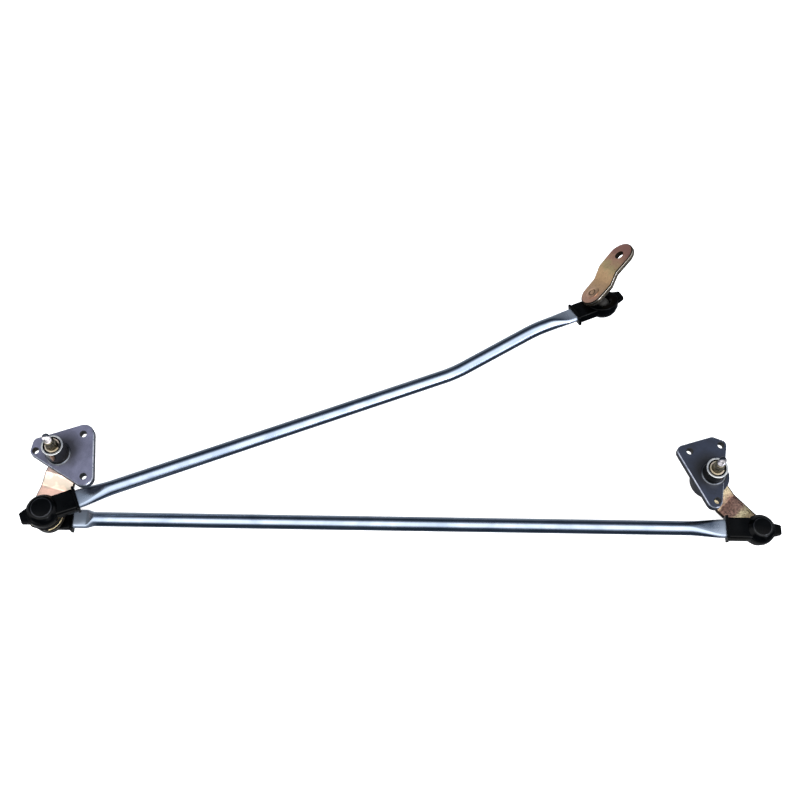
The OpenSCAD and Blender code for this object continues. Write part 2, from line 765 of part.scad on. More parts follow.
module right_top_washer() {
    color(zinc) at_right_pivot() top_washer(right_boss_h);
}

module right_retaining_ring() {
    color(zinc) at_right_pivot() retaining_ring(right_boss_h);
}

module right_thrust_washer() {
    color(zinc) at_right_pivot() thrust_washer();
}

module right_crank() {
    color(zinc) at_right_pivot() translate([0, 0, crank_root_z]) rotate([0, 0, right_angle])
        crank(right_throw, right_root_r, right_end_r, right_end_r + cut, right_slope);
}

module right_ball_stud() {
    color(bright_steel) at_rod_right_ball() ball_stud(rod_stand, crank_t);
}

module right_dust_seal() {
    color(rubber) at_rod_right_ball() dust_seal(rod_stand, seal_d);
}

module drag_link() {
    color(bright_steel) on_drag_link() drag_tube();
}

module drag_link_left_socket() {
    color(black_plastic) on_drag_link() rotate([180, 0, 0]) drag_socket();
}

module drag_link_motor_socket() {
    color(black_plastic) at_motor_ball() drag_socket();
}

// The plate is drawn face down, so that its drop becomes the rise of the motor end
module motor_crank() {
    color(zinc) on_motor_crank() translate([0, 0, motor_stand]) difference() {
        rotate([180, 0, 0])
            bent_plate(motor_throw, motor_stud_r, motor_hub_r, motor_hub_r + cut, motor_slope,
                motor_rise, motor_t);
        translate([0, 0, -cut]) cylinder(h = motor_t + 2 * cut, r = shank_r);
        translate([motor_throw, 0, motor_rise - cut]) cylinder(h = motor_t + 2 * cut, r = motor_hole_d / 2);
    }
}

module motor_ball_stud() {
    color(bright_steel) on_motor_crank() ball_stud(motor_stand, motor_t);
}

module motor_dust_seal() {
    color(rubber) on_motor_crank() dust_seal(motor_stand, motor_seal_d);
}

left_pivot_housing();
left_upper_bush();
left_lower_bush();
left_shaft_seal();
left_shaft();
left_top_washer();
left_retaining_ring();
left_thrust_washer();
left_crank();
left_double_ball_stud();
left_upper_dust_seal();
left_lower_dust_seal();
coupling_rod();
coupling_rod_left_socket();
coupling_rod_right_socket();
right_pivot_housing();
right_upper_bush();
right_lower_bush();
right_shaft_seal();
right_shaft();
right_top_washer();
right_retaining_ring();
right_thrust_washer();
right_crank();
right_ball_stud();
right_dust_seal();
drag_link();
drag_link_left_socket();
drag_link_motor_socket();
motor_crank();
motor_ball_stud();
motor_dust_seal();
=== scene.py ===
# %% [markdown]
# # A wiper linkage, built as surfaces
#
# The linkage lies on a white table: two cast pivots, a straight coupling rod, a bent drag link and a
# motor crank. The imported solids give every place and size. This lesson dresses them: each visible piece
# is worked out again as a smooth surface with numpy, in the same frame, and gets a finish made of shader
# nodes.

# %% Load the solids
import math

import bmesh
import bpy
import numpy as np
from mathutils import Matrix, Vector


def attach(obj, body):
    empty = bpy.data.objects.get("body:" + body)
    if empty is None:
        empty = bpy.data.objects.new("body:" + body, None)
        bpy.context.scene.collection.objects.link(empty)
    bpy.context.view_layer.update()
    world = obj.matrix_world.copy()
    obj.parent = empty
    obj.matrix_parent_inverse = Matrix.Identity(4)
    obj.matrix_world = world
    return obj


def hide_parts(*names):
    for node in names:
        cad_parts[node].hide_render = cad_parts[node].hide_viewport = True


MM = 0.001

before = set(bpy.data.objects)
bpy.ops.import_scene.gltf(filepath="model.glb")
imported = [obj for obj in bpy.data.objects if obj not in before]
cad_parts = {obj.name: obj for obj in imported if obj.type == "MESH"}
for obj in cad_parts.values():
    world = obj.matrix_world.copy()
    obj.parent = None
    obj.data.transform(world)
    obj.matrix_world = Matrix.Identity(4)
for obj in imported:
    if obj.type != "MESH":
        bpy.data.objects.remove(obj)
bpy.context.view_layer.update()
print("nodes in the frame:", len(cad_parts))

# %% [markdown]
# ## Sizes
#
# Every size of the linkage is in millimetres, and only stains, table and camera are placed in metres. The
# heights follow one another as in the real linkage: each crank hangs under its hub, and each ball stands
# on its crank. Working them out from few values keeps the surfaces on the solids. Only the radius of the
# cranks' creases is smaller than in the solids.

# %% Sizes of the linkage
plate_t, hub_len, thrust_t, end_float = 10.0, 19.0, 1.0, 0.15
crank_t, crank_drop, crease_r = 5.0, 7.0, 1.5
drag_stand, rod_stand, motor_stand = 13.0, 10.5, 16.0
left_throw, left_angle = 59.0, -105.6
right_throw, right_angle = 76.0, -46.0
rod_len, tube_r, tube_wall = 778.0, 8.0, 1.5
peen_h = 1.2

crank_root_z = -plate_t - hub_len - end_float / 2 - thrust_t
left_end_z = crank_root_z - crank_drop
drag_ball_z = left_end_z + drag_stand
rod_ball_z = left_end_z - crank_t - rod_stand
right_end_z = rod_ball_z - rod_stand
right_face_z = right_end_z + crank_drop - crank_root_z
floor_z = right_end_z - crank_t - peen_h


def polar(r, degrees):
    """The point at distance r from the origin, turned by an angle from +X."""
    return r * np.array([math.cos(math.radians(degrees)), math.sin(math.radians(degrees))])


left_ball = polar(left_throw, left_angle)
right_ball = left_ball + [rod_len, 0]
right_shaft = right_ball - polar(right_throw, right_angle)
print("right shaft at", right_shaft.round(1), "floor at", round(floor_z, 2))

# %% [markdown]
# ## Places
#
# A piece is computed in a handy frame of its own, such as a socket with its ball at the origin, and then
# turned and moved to where it belongs. A place is one 4 x 4 matrix, and places are chained by multiplying
# them.


# %% Places of the ball joints and pivots
def moved(x, y, z):
    """The place that is shifted by x, y and z."""
    return np.array(Matrix.Translation((x, y, z)))


def turned(degrees, axis):
    """The place that is turned about one of the axes."""
    return np.array(Matrix.Rotation(math.radians(degrees), 4, axis))


drag_angle, drag_reach, bend_one, bend_two = 22.6, 675.0, 483.0, 587.0
bend_slope, end_slope, bend_r, end_roll = 13.7, 3.0, 120.0, 25.0
motor_tilt, motor_tilt_dir, motor_turn = 30.0, -21.0, -146.5

drag_dip = math.degrees(math.asin((drag_ball_z - tube_r - floor_z) / bend_one))
bend_two_rise = (bend_two - bend_one) * math.tan(math.radians(bend_slope))
drag_end_rise = bend_two_rise + (drag_reach - bend_two) * math.tan(math.radians(end_slope))

at_left_pivot = np.eye(4)
at_right_pivot = moved(*right_shaft, right_face_z)
on_rod = moved(*left_ball, rod_ball_z)
at_rod_right = moved(*right_ball, rod_ball_z) @ turned(180, "Y")
at_drag_left = moved(*left_ball, drag_ball_z)
on_drag = at_drag_left @ turned(drag_angle, "Z") @ turned(drag_dip, "Y")
roll = math.radians(end_roll)
at_motor_ball = (on_drag @ moved(drag_reach, drag_end_rise * math.sin(roll), drag_end_rise * math.cos(roll))
                 @ turned(-end_roll, "X") @ turned(-end_slope, "Y") @ turned(180, "Z"))
on_motor_crank = (at_motor_ball @ turned(motor_tilt_dir, "Z") @ turned(motor_tilt, "Y")
                  @ turned(motor_turn, "Z"))
print("motor ball at", at_motor_ball[:3, 3].round(1))

# %% [markdown]
# ## From a grid of points to a mesh
#
# Nearly all pieces here are grids: one parameter runs along a profile or path, the other round it. A
# shell is such a grid with its quads. Shells are joined into one mesh, points that fall together are
# welded, and the faces are turned outwards. A finish number on each row of quads lets one piece carry
# several materials.


# %% Shells
def shell(points, place=None, close_rows=False, close_cols=True, finish=0):
    """Quads of a grid (rows, columns, 3): each joins a point to the next ones in its row and column."""
    rows, cols = points.shape[:2]
    r = np.arange(rows if close_rows else rows - 1)[:, None]
    c = np.arange(cols if close_cols else cols - 1)[None, :]
    next_r, next_c = (r + 1) % rows, (c + 1) % cols
    corners = np.broadcast_arrays(r * cols + c, r * cols + next_c, next_r * cols + next_c,
                                  next_r * cols + c)
    faces = np.stack(corners, axis=-1).reshape(-1, 4)
    finishes = np.broadcast_to(np.reshape(finish, (-1, 1)), (len(r), c.shape[1])).ravel()
    flat = points.reshape(-1, 3)
    if place is not None:
        flat = flat @ place[:3, :3].T + place[:3, 3]
    return flat, faces, finishes


# %% Pieces from shells
WELD = 2e-6


def make_piece(name, shells, body, materials, nodes=(), sharp=35.0):
    """Join shells into one welded mesh object that rides on a body and stands for CAD nodes."""
    starts = np.cumsum([0] + [len(s[0]) for s in shells[:-1]])
    points = np.concatenate([s[0] for s in shells]) * MM
    faces = np.concatenate([s[1] + start for s, start in zip(shells, starts)])
    mesh = bpy.data.meshes.new(name)
    mesh.from_pydata(points.tolist(), [], faces.tolist())
    mesh.polygons.foreach_set("material_index", np.concatenate([s[2] for s in shells]).astype(np.int32))
    for material in materials:
        mesh.materials.append(material)
    bm = bmesh.new()
    bm.from_mesh(mesh)
    bmesh.ops.remove_doubles(bm, verts=bm.verts, dist=WELD)
    bmesh.ops.recalc_face_normals(bm, faces=bm.faces)
    bm.to_mesh(mesh)
    bm.free()
    mesh.shade_smooth()
    mesh.set_sharp_from_angle(angle=math.radians(sharp))
    piece = bpy.data.objects.new(name, mesh)
    bpy.context.collection.objects.link(piece)
    if body:
        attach(piece, body)
    if nodes:
        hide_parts(*nodes)
    print(f"{name}: {len(mesh.polygons)} faces")
    return piece


# %% [markdown]
# ## Two ways to draw a profile
#
# Castings, mouldings and turned parts have no razor edges, and it is the small roundings that catch the
# light. A profile is listed by its corners, and each corner is replaced by a short curve. A plate's
# outline is the path of a tight belt round a ring of circles, as the plate's corners are round.


# %% Rounded profiles
def soft_corners(corners, cut, steps=5):
    """Each corner C becomes (1-t)^2 A + 2t(1-t) C + t^2 B, where A and B are a distance cut from C."""
    c = np.asarray(corners, float)
    cut = np.broadcast_to(np.asarray(cut, float), len(c))[:, None]
    back = np.roll(c, 1, axis=0) - c
    ahead = np.roll(c, -1, axis=0) - c
    a = c + cut * back / np.linalg.norm(back, axis=1, keepdims=True)
    b = c + cut * ahead / np.linalg.norm(ahead, axis=1, keepdims=True)
    t = np.linspace(0, 1, steps)[:, None, None]
    curve = (1 - t) ** 2 * a + 2 * t * (1 - t) * c + t ** 2 * b
    return curve.transpose(1, 0, 2).reshape(-1, 2)


def even_loop(loop, count):
    """Points at equal steps along a closed line, from its first point on."""
    ring = np.vstack([loop, loop[:1]])
    walked = np.concatenate([[0], np.cumsum(np.linalg.norm(np.diff(ring, axis=0), axis=1))])
    at = np.linspace(0, walked[-1], count, endpoint=False)
    return np.stack([np.interp(at, walked, ring[:, 0]), np.interp(at, walked, ring[:, 1])], axis=-1)


# %% Belts
def belt(circles, count, arc=40):
    """Outline round circles (x, y, r), anticlockwise: on each an arc between the tangents that meet it."""
    c = np.asarray(circles, float)
    way = np.roll(c[:, :2], -1, axis=0) - c[:, :2]
    far = np.linalg.norm(way, axis=1)
    lean = np.arccos((c[:, 2] - np.roll(c[:, 2], -1)) / far)
    leaves = np.arctan2(way[:, 1], way[:, 0]) - lean
    meets = np.roll(leaves, 1)
    sweep = (leaves - meets) % (2 * np.pi)
    angle = meets[:, None] + sweep[:, None] * np.linspace(0, 1, arc)
    points = c[:, None, :2] + c[:, None, 2:] * np.stack([np.cos(angle), np.sin(angle)], axis=-1)
    loop = even_loop(points.reshape(-1, 2), count)
    return np.roll(loop, -np.argmin(loop[:, 0]), axis=0)


def outward(loop):
    """Unit normals of an anticlockwise loop: the way between a point's neighbours, turned to the right."""
    along = np.roll(loop, -1, axis=0) - np.roll(loop, 1, axis=0)
    normal = np.stack([along[:, 1], -along[:, 0]], axis=-1)
    return normal / np.linalg.norm(normal, axis=1, keepdims=True)


# %% Turned and flat shapes
LATHE_TURNS = 96


def lathe(profile, place=None, closed=False, finish=0, turns=LATHE_TURNS):
    """Surface of revolution of a profile (r, z): P = (r cos a, r sin a, z)."""
    a = np.linspace(0, 2 * np.pi, turns, endpoint=False)
    r, z = np.asarray(profile, float).T
    points = np.stack([np.outer(r, np.cos(a)), np.outer(r, np.sin(a)), np.outer(z, np.ones(turns))],
                      axis=-1)
    return shell(points, place, close_rows=closed, finish=finish)


def slab(outer, inner, t, edge, place=None, top=None, closed=False, finishes=(0, 0, 0), blends=4, arc=6):
    """Plate between loops: rows go from inner to outer on the top, round the edge, and back underneath.

    The edge is a quarter circle of radius edge above and below, or a chamfer where arc is 2. top(x) lifts
    the plate where it is bent, and a closed slab has a wall along its inner loop. finishes are the numbers
    of the side wall, of the line next to it, and of the rest of each rounding.
    """
    normal = outward(outer)
    rim = outer - edge * normal
    share = np.linspace(0, 1, blends)[:, None, None]
    face = inner + (rim - inner) * share
    a = np.linspace(0, np.pi / 2, arc)[:, None, None]
    turn = rim + edge * np.sin(a) * normal
    fall = edge * (1 - np.cos(a[:, 0, 0]))
    plan = np.concatenate([face, turn, turn[::-1], face[::-1]])
    down = np.concatenate([np.zeros(blends), fall, t - fall[::-1], np.full(blends, t)])
    lift = np.zeros(plan.shape[:2]) if top is None else top(plan[..., 0])
    points = np.dstack([plan, lift - down[:, None]])
    rows = np.arange(len(points) if closed else len(points) - 1)
    wall = blends + arc - 1
    off_wall = np.abs(rows - wall)
    finish = np.select([off_wall == 0, off_wall == 1, off_wall <= arc], finishes, 0)
    return shell(points, place, close_rows=closed, finish=finish)


# %% [markdown]
# ## Finishes
#
# Each finish starts from a pattern in Object coordinates, in metres, so it stays on the piece when the
# piece moves. Small helpers wire the usual chain: coordinates, a mapping that stretches or turns them, a
# noise, and a colour ramp. A noise seldom leaves the span from 0.3 to 0.7, so that span is what gets
# spread to a roughness.

# %% Helpers for materials
NOISE_LOW, NOISE_HIGH = 0.3, 0.7


def new_finish(name, metallic, roughness, **sockets):
    """A material whose constants sit on the shader's own sockets."""
    material = bpy.data.materials.new(name)
    material.use_nodes = True
    shader = material.node_tree.nodes["Principled BSDF"]
    shader.inputs["Metallic"].default_value = metallic
    shader.inputs["Roughness"].default_value = roughness
    for label, value in sockets.items():
        shader.inputs[label.replace("_", " ")].default_value = value
    return material


def add(material, kind, **settings):
    """A new node of a kind, with its settings."""
    node = material.node_tree.nodes.new(kind)
    for label, value in settings.items():
        setattr(node, label, value)
    return node


def wire(material, source, target):
    """A link from one node's output to another's input."""
    material.node_tree.links.new(source, target)


def on_shader(material, label, source):
    """A link into one of the shader's sockets."""
    wire(material, source, material.node_tree.nodes["Principled BSDF"].inputs[label])


def placed_coordinates(material, stretch=(1, 1, 1), turn=(0, 0, 0), centre=(0, 0, 0)):
    """Object coordinates through a mapping: measured from centre, turned, then stretched."""
    coords = add(material, "ShaderNodeTexCoord")
    mapping = add(material, "ShaderNodeMapping", vector_type="TEXTURE")
    mapping.inputs["Location"].default_value = centre
    mapping.inputs["Rotation"].default_value = [math.radians(d) for d in turn]
    mapping.inputs["Scale"].default_value = [1 / s for s in stretch]
    wire(material, coords.outputs["Object"], mapping.inputs["Vector"])
    return mapping.outputs["Vector"]


def along_x(material, vector):
    """The X part of a vector."""
    split = add(material, "ShaderNodeSeparateXYZ")
    wire(material, vector, split.inputs["Vector"])
    return split.outputs["X"]


# %% Helpers for patterns
def noise(material, vector, scale, detail=4.0, distortion=0.0):
    """A cloudy value with about scale clouds to the metre."""
    node = add(material, "ShaderNodeTexNoise")
    node.inputs["Scale"].default_value = scale
    node.inputs["Detail"].default_value = detail
    node.inputs["Distortion"].default_value = distortion
    wire(material, vector, node.inputs["Vector"])
    return node.outputs["Fac"]


def mixed(material, first, second, share):
    """(1 - share) of the first value and share of the second."""
    mix = add(material, "ShaderNodeMix", data_type="FLOAT")
    mix.inputs["Factor"].default_value = share
    wire(material, first, mix.inputs["A"])
    wire(material, second, mix.inputs["B"])
    return mix.outputs["Result"]


def set_stops(node, stops):
    """Give a colour ramp its stops, each (position, (r, g, b))."""
    elements = node.color_ramp.elements
    for _ in stops[2:]:
        elements.new(0.5)
    for element, (position, rgb) in zip(elements, stops):
        element.position = position
        element.color = (*rgb, 1)


def ramp(material, source, stops):
    """Colours at positions along a value."""
    node = add(material, "ShaderNodeValToRGB")
    set_stops(node, stops)
    wire(material, source, node.inputs["Fac"])
    return node.outputs["Color"]


def two_tones(material, source, dark, light):
    """A colour between dark and light, which a noise reaches at about a third and two thirds."""
    return ramp(material, source, [(0.35, dark), (0.65, light)])


def spread(material, source, low, high, start=NOISE_LOW, end=NOISE_HIGH):
    """A value between start and end taken to the span from low to high."""
    node = add(material, "ShaderNodeMapRange")
    node.inputs["From Min"].default_value = start
    node.inputs["From Max"].default_value = end
    node.inputs["To Min"].default_value = low
    node.inputs["To Max"].default_value = high
    wire(material, source, node.inputs["Value"])
    return node.outputs["Result"]


def tinted(material, colour, tint):
    """One colour times another."""
    node = add(material, "ShaderNodeVectorMath", operation="MULTIPLY")
    wire(material, colour, node.inputs[0])
    wire(material, tint, node.inputs[1])
    return node.outputs["Vector"]


def bump(material, source, strength, depth_mm):
    """Fine relief from a value, for grain and tool marks only."""
    node = add(material, "ShaderNodeBump")
    node.inputs["Strength"].default_value = strength
    node.inputs["Distance"].default_value = depth_mm * MM
    wire(material, source, node.inputs["Height"])
    on_shader(material, "Normal", node.outputs["Normal"])


# %% [markdown]
# ### Cast plates
#
# The pivots are die castings, slate grey with a blue cast and faint cloudy mottling from the mould, and a
# fine grain that breaks up the light. Two scales of noise give this: a wide one for the clouds and a
# narrow one for the grain. Round the boss the casting is darkened by painted shade: the tint is multiplied
# by a ramp over the distance from a point beside the shaft. The right plate's grey is a darker copy, and
# the side walls and undersides are darker again, both painted shade.

# %% Cast grey
SHADE_SCALE = 20.0  # the ramp from 0 to 1 covers a twentieth of a metre
shade_core, shade_end, shade_depth = 0.24, 0.5, 0.2


def cast_grey(name, dark, light, shade_at, coat, gloss=0.5):
    """Clouds and grain mixed into one value for the tint, times the ramp of painted shade over the
    distance.
    """
    material = new_finish(name, metallic=0.35, roughness=0.55, Coat_Weight=coat, Coat_Roughness=0.25,
                          Specular_IOR_Level=gloss)
    here = placed_coordinates(material)
    clouds = noise(material, here, scale=70, detail=6, distortion=0.6)
    grain = noise(material, here, scale=900, detail=3)
    unshaded = ramp(material, mixed(material, clouds, grain, share=0.35), [(0.36, dark), (0.64, light)])
    flat = placed_coordinates(material, stretch=(SHADE_SCALE, SHADE_SCALE, 0.01), centre=shade_at)
    far = add(material, "ShaderNodeVectorMath", operation="LENGTH")
    wire(material, flat, far.inputs[0])
    painted_shade_ramp = ramp(material, far.outputs["Value"], [(shade_core, (shade_depth,) * 3), (shade_end, (1, 1, 1))])
    on_shader(material, "Base Color", tinted(material, unshaded, painted_shade_ramp))
    on_shader(material, "Roughness", spread(material, grain, low=0.45, high=0.62))
    bump(material, grain, strength=0.35, depth_mm=0.12)
    return material


left_centre = (0, 0, 0)
right_centre = tuple(at_right_pivot[:3, 3] * MM)
# Centres of the painted shade round each boss, beside the shaft.
left_shade_centre = (0.004, 0.004, 0)
right_shade_centre = tuple(at_right_pivot[:3, 3] * MM + [-0.004, 0.003, 0])
# The right plate is the same grey made darker, painted shade for light that falls off to the right; the
# walls are darker copies again, painted shade on side walls and undersides.
cast_left = cast_grey("cast grey, left", (0.073, 0.075, 0.116), (0.132, 0.135, 0.202), left_shade_centre,
                      coat=0.24)
cast_shaded_right = cast_grey("cast grey, right, painted shade", (0.005, 0.0085, 0.020), (0.0135, 0.0205, 0.043), right_shade_centre,
                       coat=0.1)
wall_shade_left = cast_grey("cast wall, left, painted shade", (0.008, 0.010, 0.016), (0.02, 0.024, 0.036), left_shade_centre,
                      coat=0.0, gloss=0.2)
wall_shade_right = cast_grey("cast wall, right, painted shade", (0.004, 0.006, 0.011), (0.011, 0.014, 0.024), right_shade_centre,
                       coat=0.0, gloss=0.15)
print("materials with the cast ones:", len(bpy.data.materials))

# %% [markdown]
# ### Turned faces
#
# The boss is turned on a lathe after casting. Its side is smooth, with fine rings, and its near-black tone
# is a painted dark reflection; its rim is bright metal. A wave texture in bands along the shaft draws the
# tool marks, and a noise stains them. Cones, threads, studs and bushes are turned too, and the casting's
# edges and holes are machined, so they share the recipe with other tones. Among these, the lighter band on
# the boss's foot is a painted highlight, the lighter chamfer is rubbed wear and a painted highlight, the
# near-black bores are painted shade, and the right thread is a darker copy of the left one, painted shade.


# %% Boss skin, bright rim and shaft
def turned_metal(name, dark, light, rough, centre=left_centre, metallic=1.0):
    """Two tones and a roughness from one noise, and fine bands along Z as relief."""
    material = new_finish(name, metallic, rough)
    here = placed_coordinates(material, centre=centre)
    rings = add(material, "ShaderNodeTexWave", wave_type="BANDS", bands_direction="Z")
    rings.inputs["Scale"].default_value = 500
    rings.inputs["Distortion"].default_value = 1.5
    wire(material, here, rings.inputs["Vector"])
    stains = noise(material, here, scale=160, detail=5, distortion=0.8)
    on_shader(material, "Base Color", two_tones(material, stains, dark, light))
    on_shader(material, "Roughness", spread(material, stains, low=rough * 0.8, high=rough * 1.3))
    bump(material, rings.outputs["Fac"], strength=0.15, depth_mm=0.05)
    return material


# The boss's near-black tone is a painted dark reflection: it stands for the dark room that the smooth
# turned side would mirror.
boss_dark_reflection_left = turned_metal("turned boss, left, painted dark reflection", (0.006, 0.008, 0.007), (0.02, 0.017, 0.014), rough=0.2,
                         metallic=0.7)
boss_dark_reflection_right = turned_metal("turned boss, right, painted dark reflection", (0.006, 0.008, 0.0075), (0.018, 0.017, 0.015), rough=0.2,
                          centre=right_centre, metallic=0.7)
rim_bright = turned_metal("bright turned rim", (0.46, 0.47, 0.48), (0.66, 0.66, 0.65), rough=0.3)
# A lighter band on the boss's fillet is a painted highlight.
shoulder_highlight = turned_metal("boss foot, painted highlight", (0.07, 0.076, 0.088), (0.14, 0.146, 0.16), rough=0.35)
# The lighter chamfer is partly rubbed wear and partly a painted highlight along the plate's edge.
edge_wear_and_highlight = turned_metal("rubbed casting edge and painted highlight", (0.16, 0.175, 0.215), (0.42, 0.44, 0.49), rough=0.3)
shaft_olive = turned_metal("dark steel cone", (0.05, 0.045, 0.03), (0.15, 0.13, 0.09), rough=0.28)
tip_left = turned_metal("bright thread, left", (0.25, 0.235, 0.235), (0.80, 0.75, 0.75), rough=0.2)
# The right tip is the same steel as the left in a darker copy, painted shade.
tip_right_shaded = turned_metal("thread, right, painted shade", (0.07, 0.068, 0.07), (0.40, 0.38, 0.40), rough=0.14,
                         centre=right_centre)
# Near black in the bolt holes is painted shade.
bore_shade = turned_metal("drilled bore, painted shade", (0.001, 0.001, 0.0012), (0.004, 0.004, 0.005), rough=0.6,
                         metallic=0.0)
print("materials with the turned ones:", len(bpy.data.materials))

# %% [markdown]
# ### Yellow zinc
#
# The cranks are pressed from plate, zinc plated and passivated in a bath that leaves a rainbow like oil on
# water: cream, pink, straw and olive in soft patches. On a crank the tint follows the distance along it,
# moved to and fro by a noise. Part of this tint is painted light: the three cranks are lit and shaded
# copies of one zinc, and the left crank is darker across its bend, painted shade on the slope. On small
# parts a noise alone picks the tint.

# %% Passivated zinc on the cranks
ZINC_METALLIC = 0.9
REACH = 100.0  # the ramp from 0 to 1 covers this length of a crank
WANDER = 0.26  # the share of the ramp by which the noise moves a tint


def zinc_skin(material, specks, rough):
    """Roughness and relief of a zinc skin, both from its specks."""
    on_shader(material, "Roughness", spread(material, specks, low=rough * 0.8, high=rough * 1.25))
    bump(material, specks, strength=0.2, depth_mm=0.06)
    return material


def yellow_zinc(name, stops, rough, scale=38):
    """Tint by a distorted noise with a few specks mixed in."""
    material = new_finish(name, ZINC_METALLIC, rough)
    here = placed_coordinates(material)
    patches = noise(material, here, scale, detail=3, distortion=1.2)
    specks = noise(material, here, scale=700)
    on_shader(material, "Base Color", ramp(material, mixed(material, patches, specks, share=0.18), stops))
    return zinc_skin(material, specks, rough)


def zinc_along(name, place, stops, rough, grain, low):
    """Tint by the millimetres along a crank, moved by noise, and darkened to low in fine specks."""
    material = new_finish(name, ZINC_METALLIC, rough)
    turn = [math.degrees(a) for a in Matrix(place).to_euler()]
    on_crank = placed_coordinates(material, turn=turn, centre=place[:3, 3] * MM)
    share = add(material, "ShaderNodeMath", operation="DIVIDE")
    share.inputs[1].default_value = REACH * MM
    wire(material, along_x(material, on_crank), share.inputs[0])
    at = add(material, "ShaderNodeMath", operation="MULTIPLY_ADD")
    at.inputs[1].default_value = WANDER
    wire(material, noise(material, on_crank, scale=60, distortion=1.0), at.inputs[0])
    wire(material, share.outputs["Value"], at.inputs[2])
    specks = noise(material, on_crank, grain, detail=5, distortion=0.6)
    tint = ramp(material, at.outputs["Value"], [(mm / REACH + WANDER / 2, rgb) for mm, rgb in stops])
    shade = ramp(material, specks, [(0.38, (low, low, low)), (0.62, (1, 1, 1))])
    on_shader(material, "Base Color", tinted(material, tint, shade))
    return zinc_skin(material, specks, rough)


# %% Zinc of each crank
left_crank_place = moved(0, 0, crank_root_z) @ turned(left_angle, "Z")
right_crank_place = at_right_pivot @ moved(0, 0, crank_root_z) @ turned(right_angle, "Z")
motor_crank_place = on_motor_crank @ moved(0, 0, motor_stand) @ turned(180, "X")
# The three cranks are one zinc in lit and shaded copies, painted for light that falls off from left to
# right: the left is brightest, the motor crank in the middle, the right darkest. The left crank's darker
# stops at 18 and 26 mm are painted shade on its bend's slope.
zinc_left_lit = zinc_along("yellow zinc, left crank, lit copy", left_crank_place, [
    (12, (0.90, 0.64, 0.54)), (18, (0.44, 0.37, 0.31)), (26, (0.41, 0.355, 0.285)),
    (31, (0.97, 0.62, 0.49)), (46, (0.97, 0.63, 0.50)), (60, (0.92, 0.78, 0.48))],
    rough=0.38, grain=500, low=0.94)
zinc_right_shaded = zinc_along("yellow zinc, right crank, shaded copy", right_crank_place, [
    (12, (0.30, 0.22, 0.12)), (17, (0.40, 0.35, 0.22)), (25, (0.42, 0.33, 0.21)),
    (31, (0.20, 0.11, 0.085)), (44, (0.27, 0.165, 0.13)), (50, (0.62, 0.52, 0.32)),
    (57, (0.34, 0.27, 0.15)), (66, (0.40, 0.26, 0.2))],
    rough=0.3, grain=420, low=0.5)
zinc_motor = zinc_along("yellow zinc, motor crank", motor_crank_place, [
    (-10, (0.52, 0.30, 0.22)), (8, (0.56, 0.36, 0.21)), (20, (0.60, 0.38, 0.20)),
    (28, (0.66, 0.43, 0.23)), (36, (0.52, 0.40, 0.20)), (44, (0.50, 0.29, 0.19)),
    (58, (0.32, 0.155, 0.125))],
    rough=0.34, grain=420, low=0.86)
zinc_small = yellow_zinc("yellow zinc, small parts", [
    (0.35, (0.50, 0.42, 0.24)), (0.52, (0.74, 0.64, 0.48)), (0.68, (0.72, 0.55, 0.48))],
    rough=0.3, scale=120)
print("materials with the zinc:", len(bpy.data.materials))

# %% [markdown]
# ### Sheared edges
#
# A press shears the crank plates, and the cut edge shows upright scratches, so the noise is fine along the
# edge and stretched through the thickness. The cut edges and the roundings beside them are painted near
# black, as shade on the cranks' sides. On the motor crank the corner next to the cut is painted lighter, a
# painted highlight, and the groove that is pressed into its stud's head is a darker brown, painted shade.


# %% Sheared plate edge
def sheared_edge(name, dark, light):
    """Two tones and relief from one noise that is stretched along Z."""
    material = new_finish(name, ZINC_METALLIC, roughness=0.42)
    streaks = noise(material, placed_coordinates(material, stretch=(1, 1, 0.08)), scale=900, detail=3)
    on_shader(material, "Base Color", two_tones(material, streaks, dark, light))
    bump(material, streaks, strength=0.4, depth_mm=0.1)
    return material


# Both sheared edges are near black: the streaks are the cut's grain, the darkness is painted shade.
edge_sheared = sheared_edge("sheared plate edge, dark", (0.012, 0.010, 0.008), (0.08, 0.062, 0.045))
edge_ribbed = sheared_edge("sheared plate edge, ribbed", (0.012, 0.010, 0.007), (0.095, 0.078, 0.055))
# A darker brown zinc in the pressed groove: painted shade.
groove_shade = yellow_zinc("groove, painted shade", [
    (0.35, (0.07, 0.042, 0.025)), (0.65, (0.26, 0.165, 0.095))], rough=0.35)
# The motor crank's corner next to the cut is painted lighter, a painted highlight.
edge_highlight = yellow_zinc("rounded edge, painted highlight", [
    (0.35, (0.30, 0.27, 0.22)), (0.65, (0.55, 0.51, 0.45))], rough=0.2)
print("materials with the edges:", len(bpy.data.materials))

# %% [markdown]
# ### Drawn tube
#
# The rods are bright zinc-plated tube with fine lines from drawing, so their noise is stretched along the
# rod. The press that flattens the ends takes off some of the mirror shine, so the metal fades there by
# the distance from the rod's middle.

# %% Tube of the rods
DULL_TO, SHINY_FROM, DULL_METAL = 40.0, 54.0, 0.6


